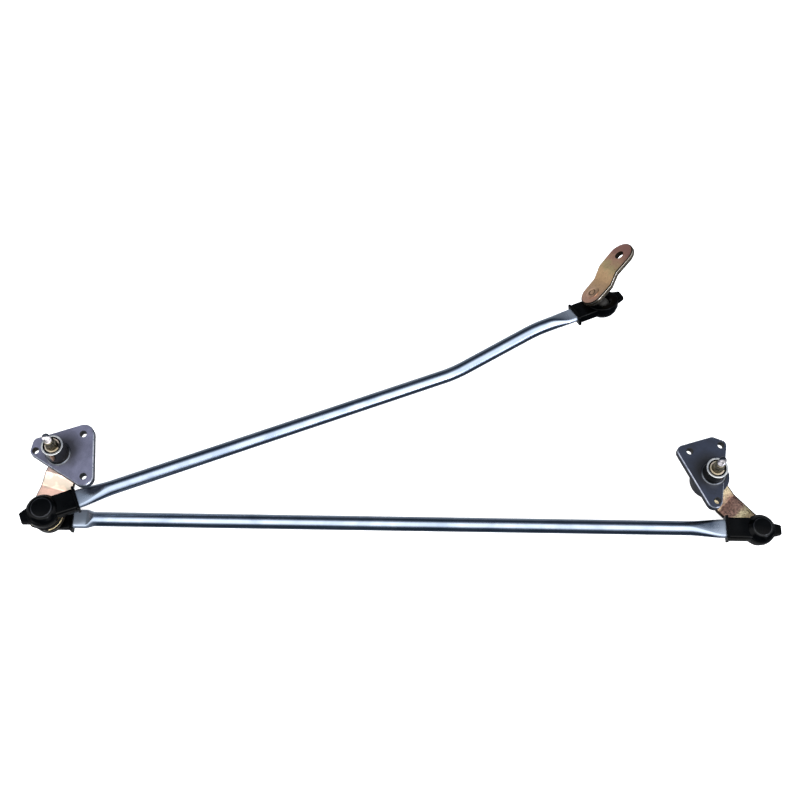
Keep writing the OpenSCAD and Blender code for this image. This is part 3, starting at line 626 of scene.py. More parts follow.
def drawn_tube(name, angle, start, reach):
    """Fine lines along the rod, and Metallic that falls off between two distances from each ball."""
    material = new_finish(name, metallic=1.0, roughness=0.2)
    stretched = placed_coordinates(material, stretch=(0.03, 1, 1), turn=(0, 0, angle))
    lines = noise(material, stretched, scale=700, detail=5)
    clouds = noise(material, placed_coordinates(material), scale=28, detail=5, distortion=0.4)
    on_shader(material, "Base Color",
              two_tones(material, clouds, dark=(0.193, 0.232, 0.293), light=(0.29, 0.332, 0.4)))
    on_shader(material, "Roughness", spread(material, lines, low=0.15, high=0.27))
    bump(material, lines, strength=0.1, depth_mm=0.03)
    middle = (start @ moved(reach / 2, 0, 0))[:3, 3] * MM
    on_tube = placed_coordinates(material, turn=(0, 0, angle), centre=middle)
    away = add(material, "ShaderNodeMath", operation="ABSOLUTE")
    wire(material, along_x(material, on_tube), away.inputs[0])
    on_shader(material, "Metallic",
              spread(material, away.outputs["Value"], low=1.0, high=DULL_METAL,
                     start=(reach / 2 - SHINY_FROM) * MM, end=(reach / 2 - DULL_TO) * MM))
    return material


tube_rod = drawn_tube("drawn tube, coupling rod", 0, on_rod, rod_len)
tube_drag = drawn_tube("drawn tube, drag link", drag_angle, on_drag, drag_reach)
print("materials with the tubes:", len(bpy.data.materials))

# %% [markdown]
# ### Black plastic, rubber, steel and bronze
#
# The sockets are moulded in black plastic with a faint gloss, and the step round each cap is a lighter
# grey, a painted highlight. The cranks' rounded edges are painted nearly as dark, as shade, so they have
# the same recipe without the gloss. Rubber is dull. The studs are plain turned steel, the motor crank's is
# painted near black as shade under the crank, and the bushes are bronze.


# %% Plastic, rubber, steel and bronze
def moulded_black(name, dark, light, coat):
    """Near black in two tones, with a thin clear coat for the gloss."""
    material = new_finish(name, metallic=0.0, roughness=0.3, Specular_IOR_Level=0.02, Coat_Weight=coat,
                          Coat_Roughness=0.05)
    here = placed_coordinates(material)
    skin = noise(material, here, scale=600, detail=3)
    clouds = noise(material, here, scale=90)
    on_shader(material, "Base Color", two_tones(material, clouds, dark, light))
    on_shader(material, "Roughness", spread(material, clouds, low=0.24, high=0.4))
    bump(material, skin, strength=0.12, depth_mm=0.05)
    return material


def dull_rubber(name, dark, light):
    """Near black with a fine grain and hardly any gloss."""
    material = new_finish(name, metallic=0.0, roughness=0.75, Specular_IOR_Level=0.1)
    grain = noise(material, placed_coordinates(material), scale=1200)
    on_shader(material, "Base Color", ramp(material, grain, [(NOISE_LOW, dark), (NOISE_HIGH, light)]))
    bump(material, grain, strength=0.3, depth_mm=0.08)
    return material


plastic_black = moulded_black("moulded black plastic", (0.0004, 0.0005, 0.0006), (0.0011, 0.0013, 0.0016),
                              coat=0.12)
# The cranks' roundings are painted near black as shade.
edge_shade = moulded_black("rounded edge, painted shade", (0.003, 0.0025, 0.002), (0.016, 0.012, 0.008), coat=0.0)
# The cap's step is a lighter grey with more gloss: its tone is a painted highlight.
plastic_step_highlight = moulded_black("scuffed plastic edge", (0.004, 0.0045, 0.0055), (0.02, 0.022, 0.026),
                                coat=0.5)
rubber_black = dull_rubber("seal rubber", (0.0015, 0.0015, 0.0017), (0.005, 0.005, 0.0055))
steel_stud = turned_metal("turned steel stud", (0.42, 0.36, 0.28), (0.62, 0.54, 0.44), rough=0.32)
# Near black painted as shade on the motor stud's ball and neck under the crank; the top washers take the
# same steel.
steel_shade = turned_metal("dark steel, painted shade", (0.005, 0.0045, 0.004), (0.012, 0.011, 0.009), rough=0.7,
                          metallic=0.0)
bronze = turned_metal("bush bronze", (0.42, 0.28, 0.12), (0.60, 0.43, 0.20), rough=0.35)
print("materials in all:", len(bpy.data.materials))

# %% [markdown]
# ## Rods
#
# A rod is a tube whose ends are pressed flat. Flattening keeps the girth, so as the half thickness h
# shrinks the half width grows to h + pi (R - h) / 2. The section is carried along the rod's path: outside
# forwards, inside back. An end is given by its flat length and by the length of the flare from flat to
# round.

# %% Sweep a flattened tube
TUBE_SIDES = 72
flat_from, flat_half_t = 11.0, 3.5


def swept_tube(centre, across, normal, half_t, place):
    """P = C(s) + Y(s) ((h - g) cos a + (w - h) sign(cos a)) + N(s) (h - g) sin a; inside, g is the wall."""
    a = np.linspace(0, 2 * np.pi, TUBE_SIDES, endpoint=False)
    h = half_t[:, None]
    w = h + np.pi * (tube_r - h) / 2
    side = np.sign(np.cos(a).round(9))

    def ring(inset):
        """The section's points at each station, with its outline drawn in by inset."""
        y = (h - inset) * np.cos(a) + (w - h) * side
        z = (h - inset) * np.sin(a)
        return centre[:, None] + across[:, None] * y[..., None] + normal[:, None] * z[..., None]

    return shell(np.concatenate([ring(0), ring(tube_wall)[::-1]]), place, close_rows=True)


def flat_end(flat, flare, steps=24):
    """Distances from the ball and half thicknesses: flat first, then eased to round by t^2 (3 - 2t)."""
    t = np.linspace(0, 1, steps)
    reach = np.concatenate([[flat_from], flat + flare * t])
    half_t = np.concatenate([[flat_half_t], flat_half_t + (tube_r - flat_half_t) * t * t * (3 - 2 * t)])
    return reach, half_t


# %% Coupling rod
rod_left_end, rod_right_end = (40.0, 10.0), (38.0, 42.0)
left_reach, left_half_t = flat_end(*rod_left_end)
right_reach, right_half_t = flat_end(*rod_right_end)
along = np.concatenate([left_reach, rod_len - right_reach[::-1]])
still = np.ones(len(along))[:, None]
rod_shell = swept_tube(along[:, None] * [1, 0, 0], still * [0, 1, 0], still * [0, 0, 1],
                       np.concatenate([left_half_t, right_half_t[::-1]]), on_rod)
make_piece("coupling_rod_tube", [rod_shell], "coupling", [tube_rod], ["coupling_rod"])

# %% Drag link
STRAIGHT_STEPS = 12
drag_left_end, drag_motor_end = (38.0, 40.0), (44.0, 26.0)


def drag_stations(steps=16):
    """Place, slope, roll and half thickness: flat end, straight, arc, slope, arc, flat end."""
    up, flatter = math.radians(bend_slope), math.radians(end_slope)
    lead_one = bend_r * math.tan(up / 2)
    lead_two = bend_r * math.tan((up - flatter) / 2)
    a = np.linspace(0, up, steps)
    b = np.linspace(up, flatter, steps)
    near, near_t = flat_end(*drag_left_end)
    far, far_t = flat_end(*drag_motor_end)
    straight = np.linspace(near[-1], bend_one - lead_one, STRAIGHT_STEPS)[1:-1]
    x = np.concatenate([near, straight, bend_one - lead_one + bend_r * np.sin(a),
                        bend_two - lead_two * math.cos(up) + bend_r * (math.sin(up) - np.sin(b)),
                        drag_reach - far[::-1] * math.cos(flatter)])
    rise = np.concatenate([0 * near, 0 * straight, bend_r * (1 - np.cos(a)),
                           bend_two_rise - lead_two * math.sin(up) + bend_r * (np.cos(b) - math.cos(up)),
                           drag_end_rise - far[::-1] * math.sin(flatter)])
    slope = np.concatenate([0 * near, 0 * straight, a, b, 0 * far + flatter])
    share = np.clip((x - near[-1]) / (bend_one - lead_one - near[-1]), 0, 1)
    half_t = np.concatenate([near_t, 0 * straight + tube_r, 0 * a + tube_r, 0 * b + tube_r, far_t[::-1]])
    return x, rise, slope, share * roll, half_t


x, rise, slope, twist, half_t = drag_stations()
centre = np.stack([x, rise * math.sin(roll), rise * math.cos(roll)], axis=-1)
across = np.stack([0 * x, np.cos(twist), -np.sin(twist)], axis=-1)
normal = np.stack([-np.sin(slope), np.cos(slope) * np.sin(twist), np.cos(slope) * np.cos(twist)], axis=-1)
drag_shell = swept_tube(centre, across, normal, half_t, on_drag)
make_piece("drag_link_tube", [drag_shell], "drag", [tube_drag], ["drag_link"])

# %% [markdown]
# ## Sockets
#
# A socket is one moulding: a dome over the ball with a flange round its mouth, a sleeve over the rod's
# flat end, a lip where the rod enters, and a tab at the closed end. Each is its own closed shell, and
# they overlap as the moulding's walls run into one another. Values that end in soft are the cuts at a
# profile's corners.

# %% Sizes of a socket
socket_r, flange_r, drag_socket_r, drag_flange_r = 15.5, 16.5, 17.0, 18.0
dome_h, mouth_h, flange_depth = 11.0, 6.5, 1.5
cap_share, cap_step = 0.62, 0.7
dome_out, dome_down = 0.93, 0.37
cap_soft, rim_soft = [0, 0.3, 0.3, 1.6, 0], [0, 0.5, 1.0, 0.6, 0]
sleeve_w, sleeve_up, sleeve_down, sleeve_step = 25.5, 5.2, 5.8, 1.4
sleeve_soft, sleeve_edge, sleeve_overlap = [0.5, 1.4, 1.4, 0.5, 0.4, 1.6, 1.6, 0.4], 0.3, 0.5
lip_t, lip_out, lip_proud, lip_soft, lip_edge = 3.0, 1.5, 0.8, 1.6, 0.7
tab_len, tab_t, tab_w, drag_tab_w = 7.0, 5.0, (16.0, 11.5), (20.0, 13.5)
tab_round, tab_sunk, tab_edge = 2.0, 3.0, 0.9
ball_r, ball_clear, flat_clear = 8.0, 0.1, 0.1
cavity_r = ball_r + ball_clear
ROUND_STEPS = 16


# %% Dome of a socket
def socket_head(dome_r, rim_r, place):
    """Revolved: flat cap and its step, dome to the flange, round the mouth, and the cavity to its pole."""
    flat_r = math.sqrt(dome_r ** 2 - dome_h ** 2)
    cap_r = cap_share * dome_r
    cap = soft_corners([[0, -dome_h], [cap_r, -dome_h], [cap_r + cap_step / 2, cap_step - dome_h],
                        [flat_r, cap_step - dome_h], [dome_r * dome_out, -dome_r * dome_down]], cap_soft)
    dome = np.linspace(math.asin(-dome_down), math.asin(-flange_depth / dome_r), ROUND_STEPS)
    cavity_top = math.asin(mouth_h / 2 / cavity_r)
    cavity = np.linspace(cavity_top, -np.pi / 2, ROUND_STEPS)
    edge = cavity_r * math.cos(cavity_top)
    rim = soft_corners([[dome_r, -flange_depth], [rim_r, -flange_depth], [rim_r, mouth_h],
                        [edge + mouth_h / 2, mouth_h], [edge, mouth_h / 2]], rim_soft)
    profile = np.concatenate([cap, dome_r * np.stack([np.cos(dome), np.sin(dome)], axis=-1), rim,
                              cavity_r * np.stack([np.cos(cavity), np.sin(cavity)], axis=-1)])
    # The step round the cap takes the lighter grey of a painted highlight.
    step_highlight = (np.abs(profile[:-1, 0] - cap_r) < cap_step) & (profile[:-1, 1] < cap_step - dome_h)
    return lathe(profile, place, finish=step_highlight.astype(int))


# %% Sleeve, lip and tab
BAR_POINTS, TAB_POINTS = 160, 120
EDGE_KNEE = 0.3


def hollow_bar(loop, hole, x_from, x_to, edge, place):
    """Bar along +X with softened end edges: the outer loop (y, z) goes out and the hole comes back."""
    outer, inner = even_loop(loop, BAR_POINTS), even_loop(hole, BAR_POINTS)
    n = outward(outer)
    knee = edge * EDGE_KNEE
    steps = [(x_from, edge), (x_from + knee, knee), (x_from + edge, 0),
             (x_to - edge, 0), (x_to - knee, knee), (x_to, edge)]
    rings = [np.column_stack([np.full(BAR_POINTS, at), outer - inset * n]) for at, inset in steps]
    back = [np.column_stack([np.full(BAR_POINTS, at), inner]) for at in (x_to, x_from)]
    return shell(np.stack(rings + back), place, close_rows=True)


def socket_shells(length, dome_r, rim_r, tab_w, place):
    """Head, sleeve, lip and tab of a socket whose ball is at the origin and whose rod leaves along +X."""
    pocket_t = flat_half_t + flat_clear
    pocket_w = flat_half_t + np.pi * (tube_r - flat_half_t) / 2 + flat_clear
    hole = belt([[-pocket_w + pocket_t, 0, pocket_t], [pocket_w - pocket_t, 0, pocket_t]], BAR_POINTS)
    hole = np.roll(hole, BAR_POINTS // 2, axis=0)
    half, low = sleeve_w / 2, sleeve_w / 2 - sleeve_step
    sleeve = soft_corners([[half, -flange_depth], [half, sleeve_up], [-half, sleeve_up],
                           [-half, -flange_depth], [-low, -flange_depth], [-low, -sleeve_down],
                           [low, -sleeve_down], [low, -flange_depth]], sleeve_soft)
    wide, high, deep = half + lip_out, sleeve_up + lip_proud, sleeve_down + lip_proud
    lip = soft_corners([[wide, -deep], [wide, high], [-wide, high], [-wide, -deep]], lip_soft)
    tab_tip, tab_root = tab_round - rim_r - tab_len, tab_sunk - dome_r
    root, tip = np.array(tab_w) / 2 - tab_round
    tab = belt([[tab_tip, tip, tab_round], [tab_tip, -tip, tab_round], [tab_root, -root, tab_round],
                [tab_root, root, tab_round]], TAB_POINTS)
    tab_place = place @ moved(0, 0, sleeve_up)
    return [socket_head(dome_r, rim_r, place),
            hollow_bar(sleeve, hole, flat_from - sleeve_overlap, length - lip_t + sleeve_overlap,
                       sleeve_edge, place),
            hollow_bar(lip, hole, length - lip_t, length, lip_edge, place),
            slab(tab, np.zeros_like(tab) + tab.mean(axis=0), tab_t, tab_edge, tab_place)]


# %% The four sockets
short_sleeve, long_sleeve = 27.0, 38.0
flipped = turned(180, "X")
rod_head = (socket_r, flange_r, tab_w)
drag_head = (drag_socket_r, drag_flange_r, drag_tab_w)
for name, length, head, place, body in (
        ("coupling_rod_left_socket", short_sleeve, rod_head, on_rod, "coupling"),
        ("coupling_rod_right_socket", long_sleeve, rod_head, at_rod_right, "coupling"),
        ("drag_link_left_socket", long_sleeve, drag_head, on_drag @ flipped, "drag"),
        ("drag_link_motor_socket", long_sleeve, drag_head, at_motor_ball, "drag")):
    make_piece(name + "_moulding", socket_shells(length, *head, place), body,
               [plastic_black, plastic_step_highlight], [name])

# %% [markdown]
# ## Cranks
#
# A crank is a plate with two round ends, pressed with a double bend so that its ball hangs lower than its
# shaft. The sheared side and the roundings above and below it have finishes of their own.

# %% Bent plates
CRANK_POINTS = 360
CRANK_EDGES = (1, 2, 3)
HOLE_ROOM = 1.6


def bent_top(start, end, drop, r, steps=10):
    """Height over x: flat, an arc of radius r, a slope, the arc the other way, flat and lower by drop."""
    tilt = math.atan2(drop, end - start)
    lead = r * math.tan(tilt / 2)
    a = np.linspace(0, tilt, steps)
    x = np.concatenate([start - lead + r * np.sin(a), (end + lead - r * np.sin(a))[::-1]])
    z = np.concatenate([-r * (1 - np.cos(a)), (-drop + r * (1 - np.cos(a)))[::-1]])
    return lambda at: np.interp(at, x, z)


def crank_plate(throw, drop, t, place, root_r, end_r, past, slope, edge, hole_r=0.0):
    """Belt round two circles, filled from its spine; near a hole the spine opens into the hole's circle.

    Past the ball the plate ends at a distance past, so its end is blunt where that is less than end_r.
    """
    outer = belt([[0, 0, root_r], [throw, 0, end_r]], CRANK_POINTS)
    outer = np.column_stack([np.minimum(outer[:, 0], throw + past), outer[:, 1]])
    outer = even_loop(outer, CRANK_POINTS)
    top = bent_top(*slope, drop, crease_r)
    if not hole_r:
        inner = np.stack([np.clip(outer[:, 0], 0, throw), 0 * outer[:, 1]], axis=-1)
        return [slab(outer, inner, t, edge, place, top, finishes=CRANK_EDGES)]
    opens = throw - HOLE_ROOM * hole_r
    round_hole = outer[:, 0] > opens
    first, last = np.flatnonzero(round_hole)[[0, -1]]
    turn = np.interp(np.arange(CRANK_POINTS), [first, last], [-np.pi, np.pi])
    spine = np.clip(outer[:, 0], 0, opens) * (throw - hole_r) / opens
    inner = np.where(round_hole[:, None],
                     np.stack([throw + hole_r * np.cos(turn), hole_r * np.sin(turn)], axis=-1),
                     np.stack([spine, 0 * spine], axis=-1))
    inner[[first - 1, last + 1]] = [throw - hole_r, 0]
    rim = inner[first:last + 1]
    wall = np.stack([np.column_stack([rim, top(rim[:, 0])]), np.column_stack([rim, top(rim[:, 0]) - t])])
    return [slab(outer, inner, t, edge, place, top, finishes=CRANK_EDGES),
            shell(wall, place, close_cols=False, finish=CRANK_EDGES[-1])]


# %% The three cranks
motor_t, motor_throw, motor_rise, motor_hole_r = 6.0, 53.3, 6.5, 5.5
left_plate = crank_plate(left_throw, crank_drop, crank_t, left_crank_place,
                         root_r=16.5, end_r=20.0, past=17.0, slope=(15.0, 29.0), edge=1.1)
right_plate = crank_plate(right_throw, crank_drop, crank_t, right_crank_place,
                          root_r=15.0, end_r=14.5, past=14.5, slope=(17.0, 30.0), edge=1.7)
motor_plate = crank_plate(motor_throw, motor_rise, motor_t, motor_crank_place,
                          root_r=16.0, end_r=17.5, past=17.5, slope=(17.0, 32.0), edge=1.4,
                          hole_r=motor_hole_r)
make_piece("left_crank_plate", left_plate, "left_arm",
           [zinc_left_lit, edge_sheared, edge_shade, edge_shade], ["left_crank"])
make_piece("right_crank_plate", right_plate, "right_arm",
           [zinc_right_shaded, edge_sheared, edge_shade, edge_shade], ["right_crank"])
make_piece("motor_crank_plate", motor_plate, "motor_arm",
           [zinc_motor, edge_ribbed, edge_highlight, edge_shade], ["motor_crank"])

# %% [markdown]
# ## Ball studs
#
# Each stud is turned in one piece: ball, neck, shoulder, and a shank whose end is peened over the crank.
# The head's low dome with its ring is what shows. The left stud has a ball at both ends.

# %% Profiles of the studs
BALL_STEPS = 32
neck_r, shank_r, shoulder_r, shoulder_t = 4.1, 5.0, 6.5, 1.2
stud_head_r, head_edge_h = 8.4, 0.5
crown_out_r, groove_out_r, groove_in_r, crown_in_r, groove_h = 5.2, 4.4, 3.4, 2.6, 0.7
head_soft = [0, 0.3, 0.3, 0.2, 0.2, 0.3, 0]


def ball_profile(stand):
    """From the ball's pole up to the crank: sphere, neck, shoulder."""
    a = np.linspace(-np.pi / 2, math.acos(neck_r / ball_r), BALL_STEPS)
    ball = ball_r * np.stack([np.cos(a), np.sin(a)], axis=-1)
    neck = [[neck_r, stand - shoulder_t], [shoulder_r, stand - shoulder_t], [shoulder_r, stand]]
    return np.concatenate([ball, neck])


def peened_head(base):
    """Low dome with a ring pressed into it."""
    corners = [[stud_head_r, base], [stud_head_r, base + head_edge_h], [crown_out_r, base + peen_h],
               [groove_out_r, base + groove_h], [groove_in_r, base + groove_h], [crown_in_r, base + peen_h],
               [0, base + peen_h]]
    return soft_corners(corners, head_soft)


def single_stud(stand, plate):
    """Ball, shank through the crank's plate, and peened head."""
    shank = [[shank_r, stand], [shank_r, stand + plate]]
    return np.concatenate([ball_profile(stand), shank, peened_head(stand + plate)])


# %% The three studs
groove_mid_r, groove_half_w = 4.0, 0.8
upper_ball = ball_profile(drag_stand) * [1, -1] + [0, drag_ball_z - rod_ball_z]
double = np.concatenate([ball_profile(rod_stand), [[shank_r, rod_stand], [shank_r, rod_stand + crank_t]],
                         upper_ball[::-1]])
make_piece("left_double_stud_turning", [lathe(double, on_rod)], "left_arm", [steel_stud],
           ["left_double_ball_stud"])
make_piece("right_stud_turning", [lathe(single_stud(rod_stand, crank_t), at_rod_right)], "right_arm",
           [steel_stud], ["right_ball_stud"])
motor_stud = single_stud(motor_stand, motor_t)
# Rows below the crank, the ball and neck, take near-black steel as painted shade.
plated = motor_stud[:-1, 1] >= motor_stand
# The ring groove in the head takes a darker brown zinc as painted shade.
shaded_groove_rows = plated & (np.abs(motor_stud[:-1, 0] - groove_mid_r) < groove_half_w)
make_piece("motor_stud_turning", [lathe(motor_stud, on_motor_crank, finish=plated + 1 * shaded_groove_rows)],
           "motor_arm", [steel_shade, zinc_motor, groove_shade], ["motor_ball_stud"])

# %% [markdown]
# ## Pivot housings
#
# A housing is a flat plate with a turned boss above and a hub below. The plate is a slab inside its belt
# outline, the boss and hub are one revolved ring, and they are joined and drilled with Boolean modifiers,
# which are then applied. Faces of the ring get their finish by their place: bright rim, a lighter band at
# the boss's foot that is a painted highlight, a near-black turned side that is a painted dark reflection,
# and a hub in the dark wall grey of painted shade. All helpers carry the same list of materials, so the
# joins keep the numbers.

# %% Ring and drill of a housing
CAST, TURNED, RIM, SHOULDER_HIGHLIGHT, WALL_SHADE, CHAMFER, BORE = range(7)
FILLET_STEPS, DRILL_TURNS = 10, 48
boss_r, boss_fillet, recess_r, recess_depth, pad_rim = 11.7, 2.5, 9.5, 5.0, 0.6
bush_r, bolt_r, plate_bevel, pad_sunk = 8.55, 3.5, 1.0, 0.05
hub_soft, rim_len, boss_soft = [0, 0.8, 0], 2.0, [0, 0.5, 0.3, 0, 0]
rim_band, rim_inset, side_from, highlight_span = 0.1, 0.2, -0.04, (0.15, 0.6)
sink, sink_past, drill_past = 0.4, 0.9, 1.0


def housing_ring(boss_h, hub_r, place):
    """Closed profile: hub from below, pad in the plate, fillet, boss, rim, recess, and down the bore."""
    foot_r = boss_r + boss_fillet
    hub_z = -plate_t - hub_len
    a = np.linspace(-np.pi / 2, -np.pi, FILLET_STEPS)
    fillet = np.stack([foot_r + boss_fillet * np.cos(a),
                       boss_fillet + boss_fillet * np.sin(a) - pad_sunk], axis=-1)
    hub = soft_corners([[bush_r, hub_z], [hub_r, hub_z], [hub_r, -plate_t]], hub_soft)
    pad = np.array([[foot_r + pad_rim, -plate_t], [foot_r + pad_rim, -pad_sunk]])
    top = soft_corners([[boss_r, boss_h - rim_len], [boss_r, boss_h], [recess_r, boss_h],
                        [recess_r, boss_h - recess_depth], [bush_r, boss_h - recess_depth]], boss_soft)
    profile = np.concatenate([hub, pad, fillet, top])
    r, z = ((profile + np.roll(profile, -1, axis=0)) / 2).T
    rim = (z > boss_h - rim_band) & (r > recess_r + rim_inset)
    side = (z > side_from) & (r < foot_r)
    under = z < -plate_t
    # The shoulder band is lighter as a painted highlight; the side is a painted dark reflection, and the
    # part under the plate is painted shade.
    near, far = highlight_span
    shoulder = (r > boss_r + boss_fillet * near) & (r < boss_r + boss_fillet * far) & (z > 0)
    finish = np.select([rim, shoulder, side, under], [RIM, SHOULDER_HIGHLIGHT, TURNED, WALL_SHADE], CAST)
    return lathe(profile, place, closed=True, finish=finish)


def bolt_cutter(place):
    """Drill with a small countersink at both faces."""
    return lathe([[0, drill_past], [bolt_r + sink_past, drill_past], [bolt_r + sink, 0], [bolt_r, -sink],
                  [bolt_r, sink - plate_t], [bolt_r + sink, -plate_t],
                  [bolt_r + sink_past, -plate_t - drill_past], [0, -plate_t - drill_past]],
                 place, finish=BORE, turns=DRILL_TURNS)


# %% Joining a housing
OUTLINE_POINTS = 320


def cut_and_joined(piece, others, sharp=30.0):
    """Apply Boolean modifiers: each (object, operation) in turn, then drop the helpers."""
    for helper, operation in others:
        modifier = piece.modifiers.new(helper.name, "BOOLEAN")
        modifier.object = helper
        modifier.operation = operation
        modifier.solver = "EXACT"
    bpy.context.view_layer.update()
    result = bpy.data.meshes.new_from_object(piece.evaluated_get(bpy.context.evaluated_depsgraph_get()))
    piece.modifiers.clear()
    piece.data = result
    for helper, _ in others:
        bpy.data.objects.remove(helper)
    result.shade_smooth()
    result.set_sharp_from_angle(angle=math.radians(sharp))
    print(f"{piece.name}: {len(result.polygons)} faces after joining")


def housing(side, corners, holes, boss_h, hub_r, place, body, materials):
    """Plate from its belt outline to a circle inside the ring's wall, joined to the ring and drilled."""
    outline = belt(corners, OUTLINE_POINTS)
    inside_ring = (bush_r + boss_r) / 2 * outline / np.linalg.norm(outline, axis=1, keepdims=True)
    # The plate's side wall takes the dark wall grey as painted shade, and its chamfers a lighter grey of
    # wear and painted highlight.
    plate_shell = slab(outline, inside_ring, plate_t, plate_bevel, place, closed=True,
                       finishes=(WALL_SHADE, CHAMFER, CHAMFER), arc=2)
    plate = make_piece(f"{side}_housing_casting", [plate_shell], body, materials,
                       [f"{side}_pivot_housing"])
    ring = make_piece(f"{side}_ring", [housing_ring(boss_h, hub_r, place)], None, materials)
    drills = [make_piece(f"{side}_drill_{i}", [bolt_cutter(place @ moved(*hole, 0))], None, materials)
              for i, hole in enumerate(holes)]
    cut_and_joined(plate, [(ring, "UNION")] + [(drill, "DIFFERENCE") for drill in drills])


# %% The two housings
left_holes = [(-24.8, 3.0), (29.7, -25.3), (24.3, 22.9)]
left_corners = [(-24.8, 3.0, 6.0), (29.7, -25.3, 10.5), (24.3, 22.9, 11.5), (-23.6, 12.6, 5.5)]
right_holes = [(1.9, -31.0), (10.9, 33.0), (-23.8, 25.4)]
right_corners = [(-0.8, -31.0, 8.4), (10.9, 33.0, 6.5), (2.0, 35.5, 7.3), (-30.2, 25.4, 7.2)]
left_boss_h, right_boss_h = 26.0, 18.0
left_hub_r, right_hub_r = 12.0, 20.0
housing("left", left_corners, left_holes, left_boss_h, left_hub_r, at_left_pivot, "left_pivot",
        [cast_left, boss_dark_reflection_left, rim_bright, shoulder_highlight, wall_shade_left, edge_wear_and_highlight, bore_shade])
housing("right", right_corners, right_holes, right_boss_h, right_hub_r, at_right_pivot, "right_pivot",
        [cast_shaded_right, boss_dark_reflection_right, rim_bright, shoulder_highlight, wall_shade_right, edge_wear_and_highlight, bore_shade])

# %% [markdown]
# ## Shafts
#
# The wiper arm seats on a knurled cone and is held by a nut on the threaded tip. Both are drawn in the
# radius itself: the knurl is a wave round the shaft, the thread a wave that climbs one pitch per turn.
# They only cut inwards.

# %% Sizes of a shaft
SHAFT_TURNS, CONE_ROWS, THREAD_ROWS, SHAFT_SHARP = 240, 24, 120, 50.0
shaft_r, spigot_r, peen_r, groove_r = 6.5, 5.5, 7.5, 5.7
peen_in, peen_rise, foot_chamfer = 0.6, 0.4, 0.2
cone_foot_r, cone_top_r, cone_len, cone_start, cone_chamfer = 6.3, 4.9, 13.0, 0.4, 0.2
thread_r, thread_len, thread_chamfer, thread_pitch, thread_depth = 4.0, 12.0, 1.0, 1.25, 0.65
undercut, undercut_rise, thread_start, thread_runout = 0.6, 0.1, 0.3, 1.2
knurl_teeth, knurl_depth, knurl_foot, knurl_top = 40, 0.35, 1.2, 1.0
seal_t, washer_t, ring_t = 2.2, 1.2, 1.2
print("turns of thread on a tip:", round((thread_len - thread_runout - thread_chamfer) / thread_pitch, 1))


# %% Shaft with knurl and thread
def wave(angle):
    """0 at angle 0 and 1 at half a turn."""
    return 0.5 - 0.5 * np.cos(angle)


def shaft_shells(boss_h, place):
    """Journal, knurled cone and thread as one grid: r(z, a) = profile(z) - knurl(a) - thread(z, a)."""
    washer_z = boss_h - recess_depth + seal_t + end_float / 2
    ring_z = washer_z + washer_t
    foot = ring_z + 2 * ring_t
    top = foot + cone_len
    tip = top + thread_len
    base = crank_root_z - crank_t - peen_h
    lower = np.array([[0, base], [peen_r - peen_in, base], [peen_r, base + peen_rise],
                      [peen_r, base + peen_h], [spigot_r, base + peen_h], [spigot_r, crank_root_z],
                      [shaft_r, crank_root_z], [shaft_r, ring_z], [groove_r, ring_z],
                      [groove_r, ring_z + ring_t], [shaft_r, ring_z + ring_t],
                      [shaft_r, foot - foot_chamfer], [cone_foot_r, foot]])
    cone_z = np.linspace(foot + cone_start, top - cone_chamfer, CONE_ROWS)
    cone = np.column_stack([np.interp(cone_z, [foot, top], [cone_foot_r, cone_top_r]), cone_z])
    neck = [[cone_top_r - cone_chamfer, top], [thread_r - undercut, top + undercut_rise]]
    thread_z = np.linspace(top + thread_start, tip - thread_chamfer, THREAD_ROWS)
    thread = np.column_stack([np.full(THREAD_ROWS, thread_r), thread_z])
    end = np.array([[thread_r - thread_chamfer, tip], [0, tip]])
    profile = np.concatenate([lower, cone, neck, thread, end])
    a = np.linspace(0, 2 * np.pi, SHAFT_TURNS, endpoint=False)
    r, z = profile[:, :1], profile[:, 1:]
    knurled = ((z > foot + knurl_foot) & (z < top - knurl_top)) * wave(knurl_teeth * a) * knurl_depth
    threaded = (z > top + thread_runout) & (z < tip - thread_chamfer)
    climb = 2 * np.pi * (z - top) / thread_pitch - a
    r = r - knurled - threaded * thread_depth * wave(climb)
    points = np.stack([r * np.cos(a), r * np.sin(a), np.broadcast_to(z, r.shape)], axis=-1)
    bright = (profile[:-1, 1] > top).astype(int)
    return [shell(points, place, finish=bright)]


# %% The two shafts
for side, boss_h, place, tip in (("left", left_boss_h, at_left_pivot, tip_left),
                                 ("right", right_boss_h, at_right_pivot, tip_right_shaded)):
    make_piece(f"{side}_shaft_turning", shaft_shells(boss_h, place), f"{side}_arm",
               [shaft_olive, tip], [f"{side}_shaft"], sharp=SHAFT_SHARP)

# %% [markdown]
# ## Small parts that keep their solids
#
# Bushes, washers, rings and seals are plain turned rings, and the solids already have their shape. They
# only need their finish, which goes into the material slots of the CAD objects.

# %% Finishes on the plain rings
plain = {"bush": bronze, "shaft_seal": rubber_black, "dust_seal": rubber_black, "thrust_washer": zinc_small,
         "top_washer": steel_shade, "retaining_ring": zinc_small}
for node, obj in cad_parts.items():
    for word, material in plain.items():
        if word in node:
            obj.data.materials.clear()
            obj.data.materials.append(material)
print("rings finished")

# %% [markdown]
# ## Table, light and camera
#
# Bright tube shows what surrounds it, so the light is a wide soft source above and in front, with a
# darker room behind. Two strips at the sides and a small lamp add thin highlights. The table is white to
# the camera but kept out of mirror reflections and of bounced light, so the rods keep their dark lower
# edges. The camera looks down at the photograph's angle.

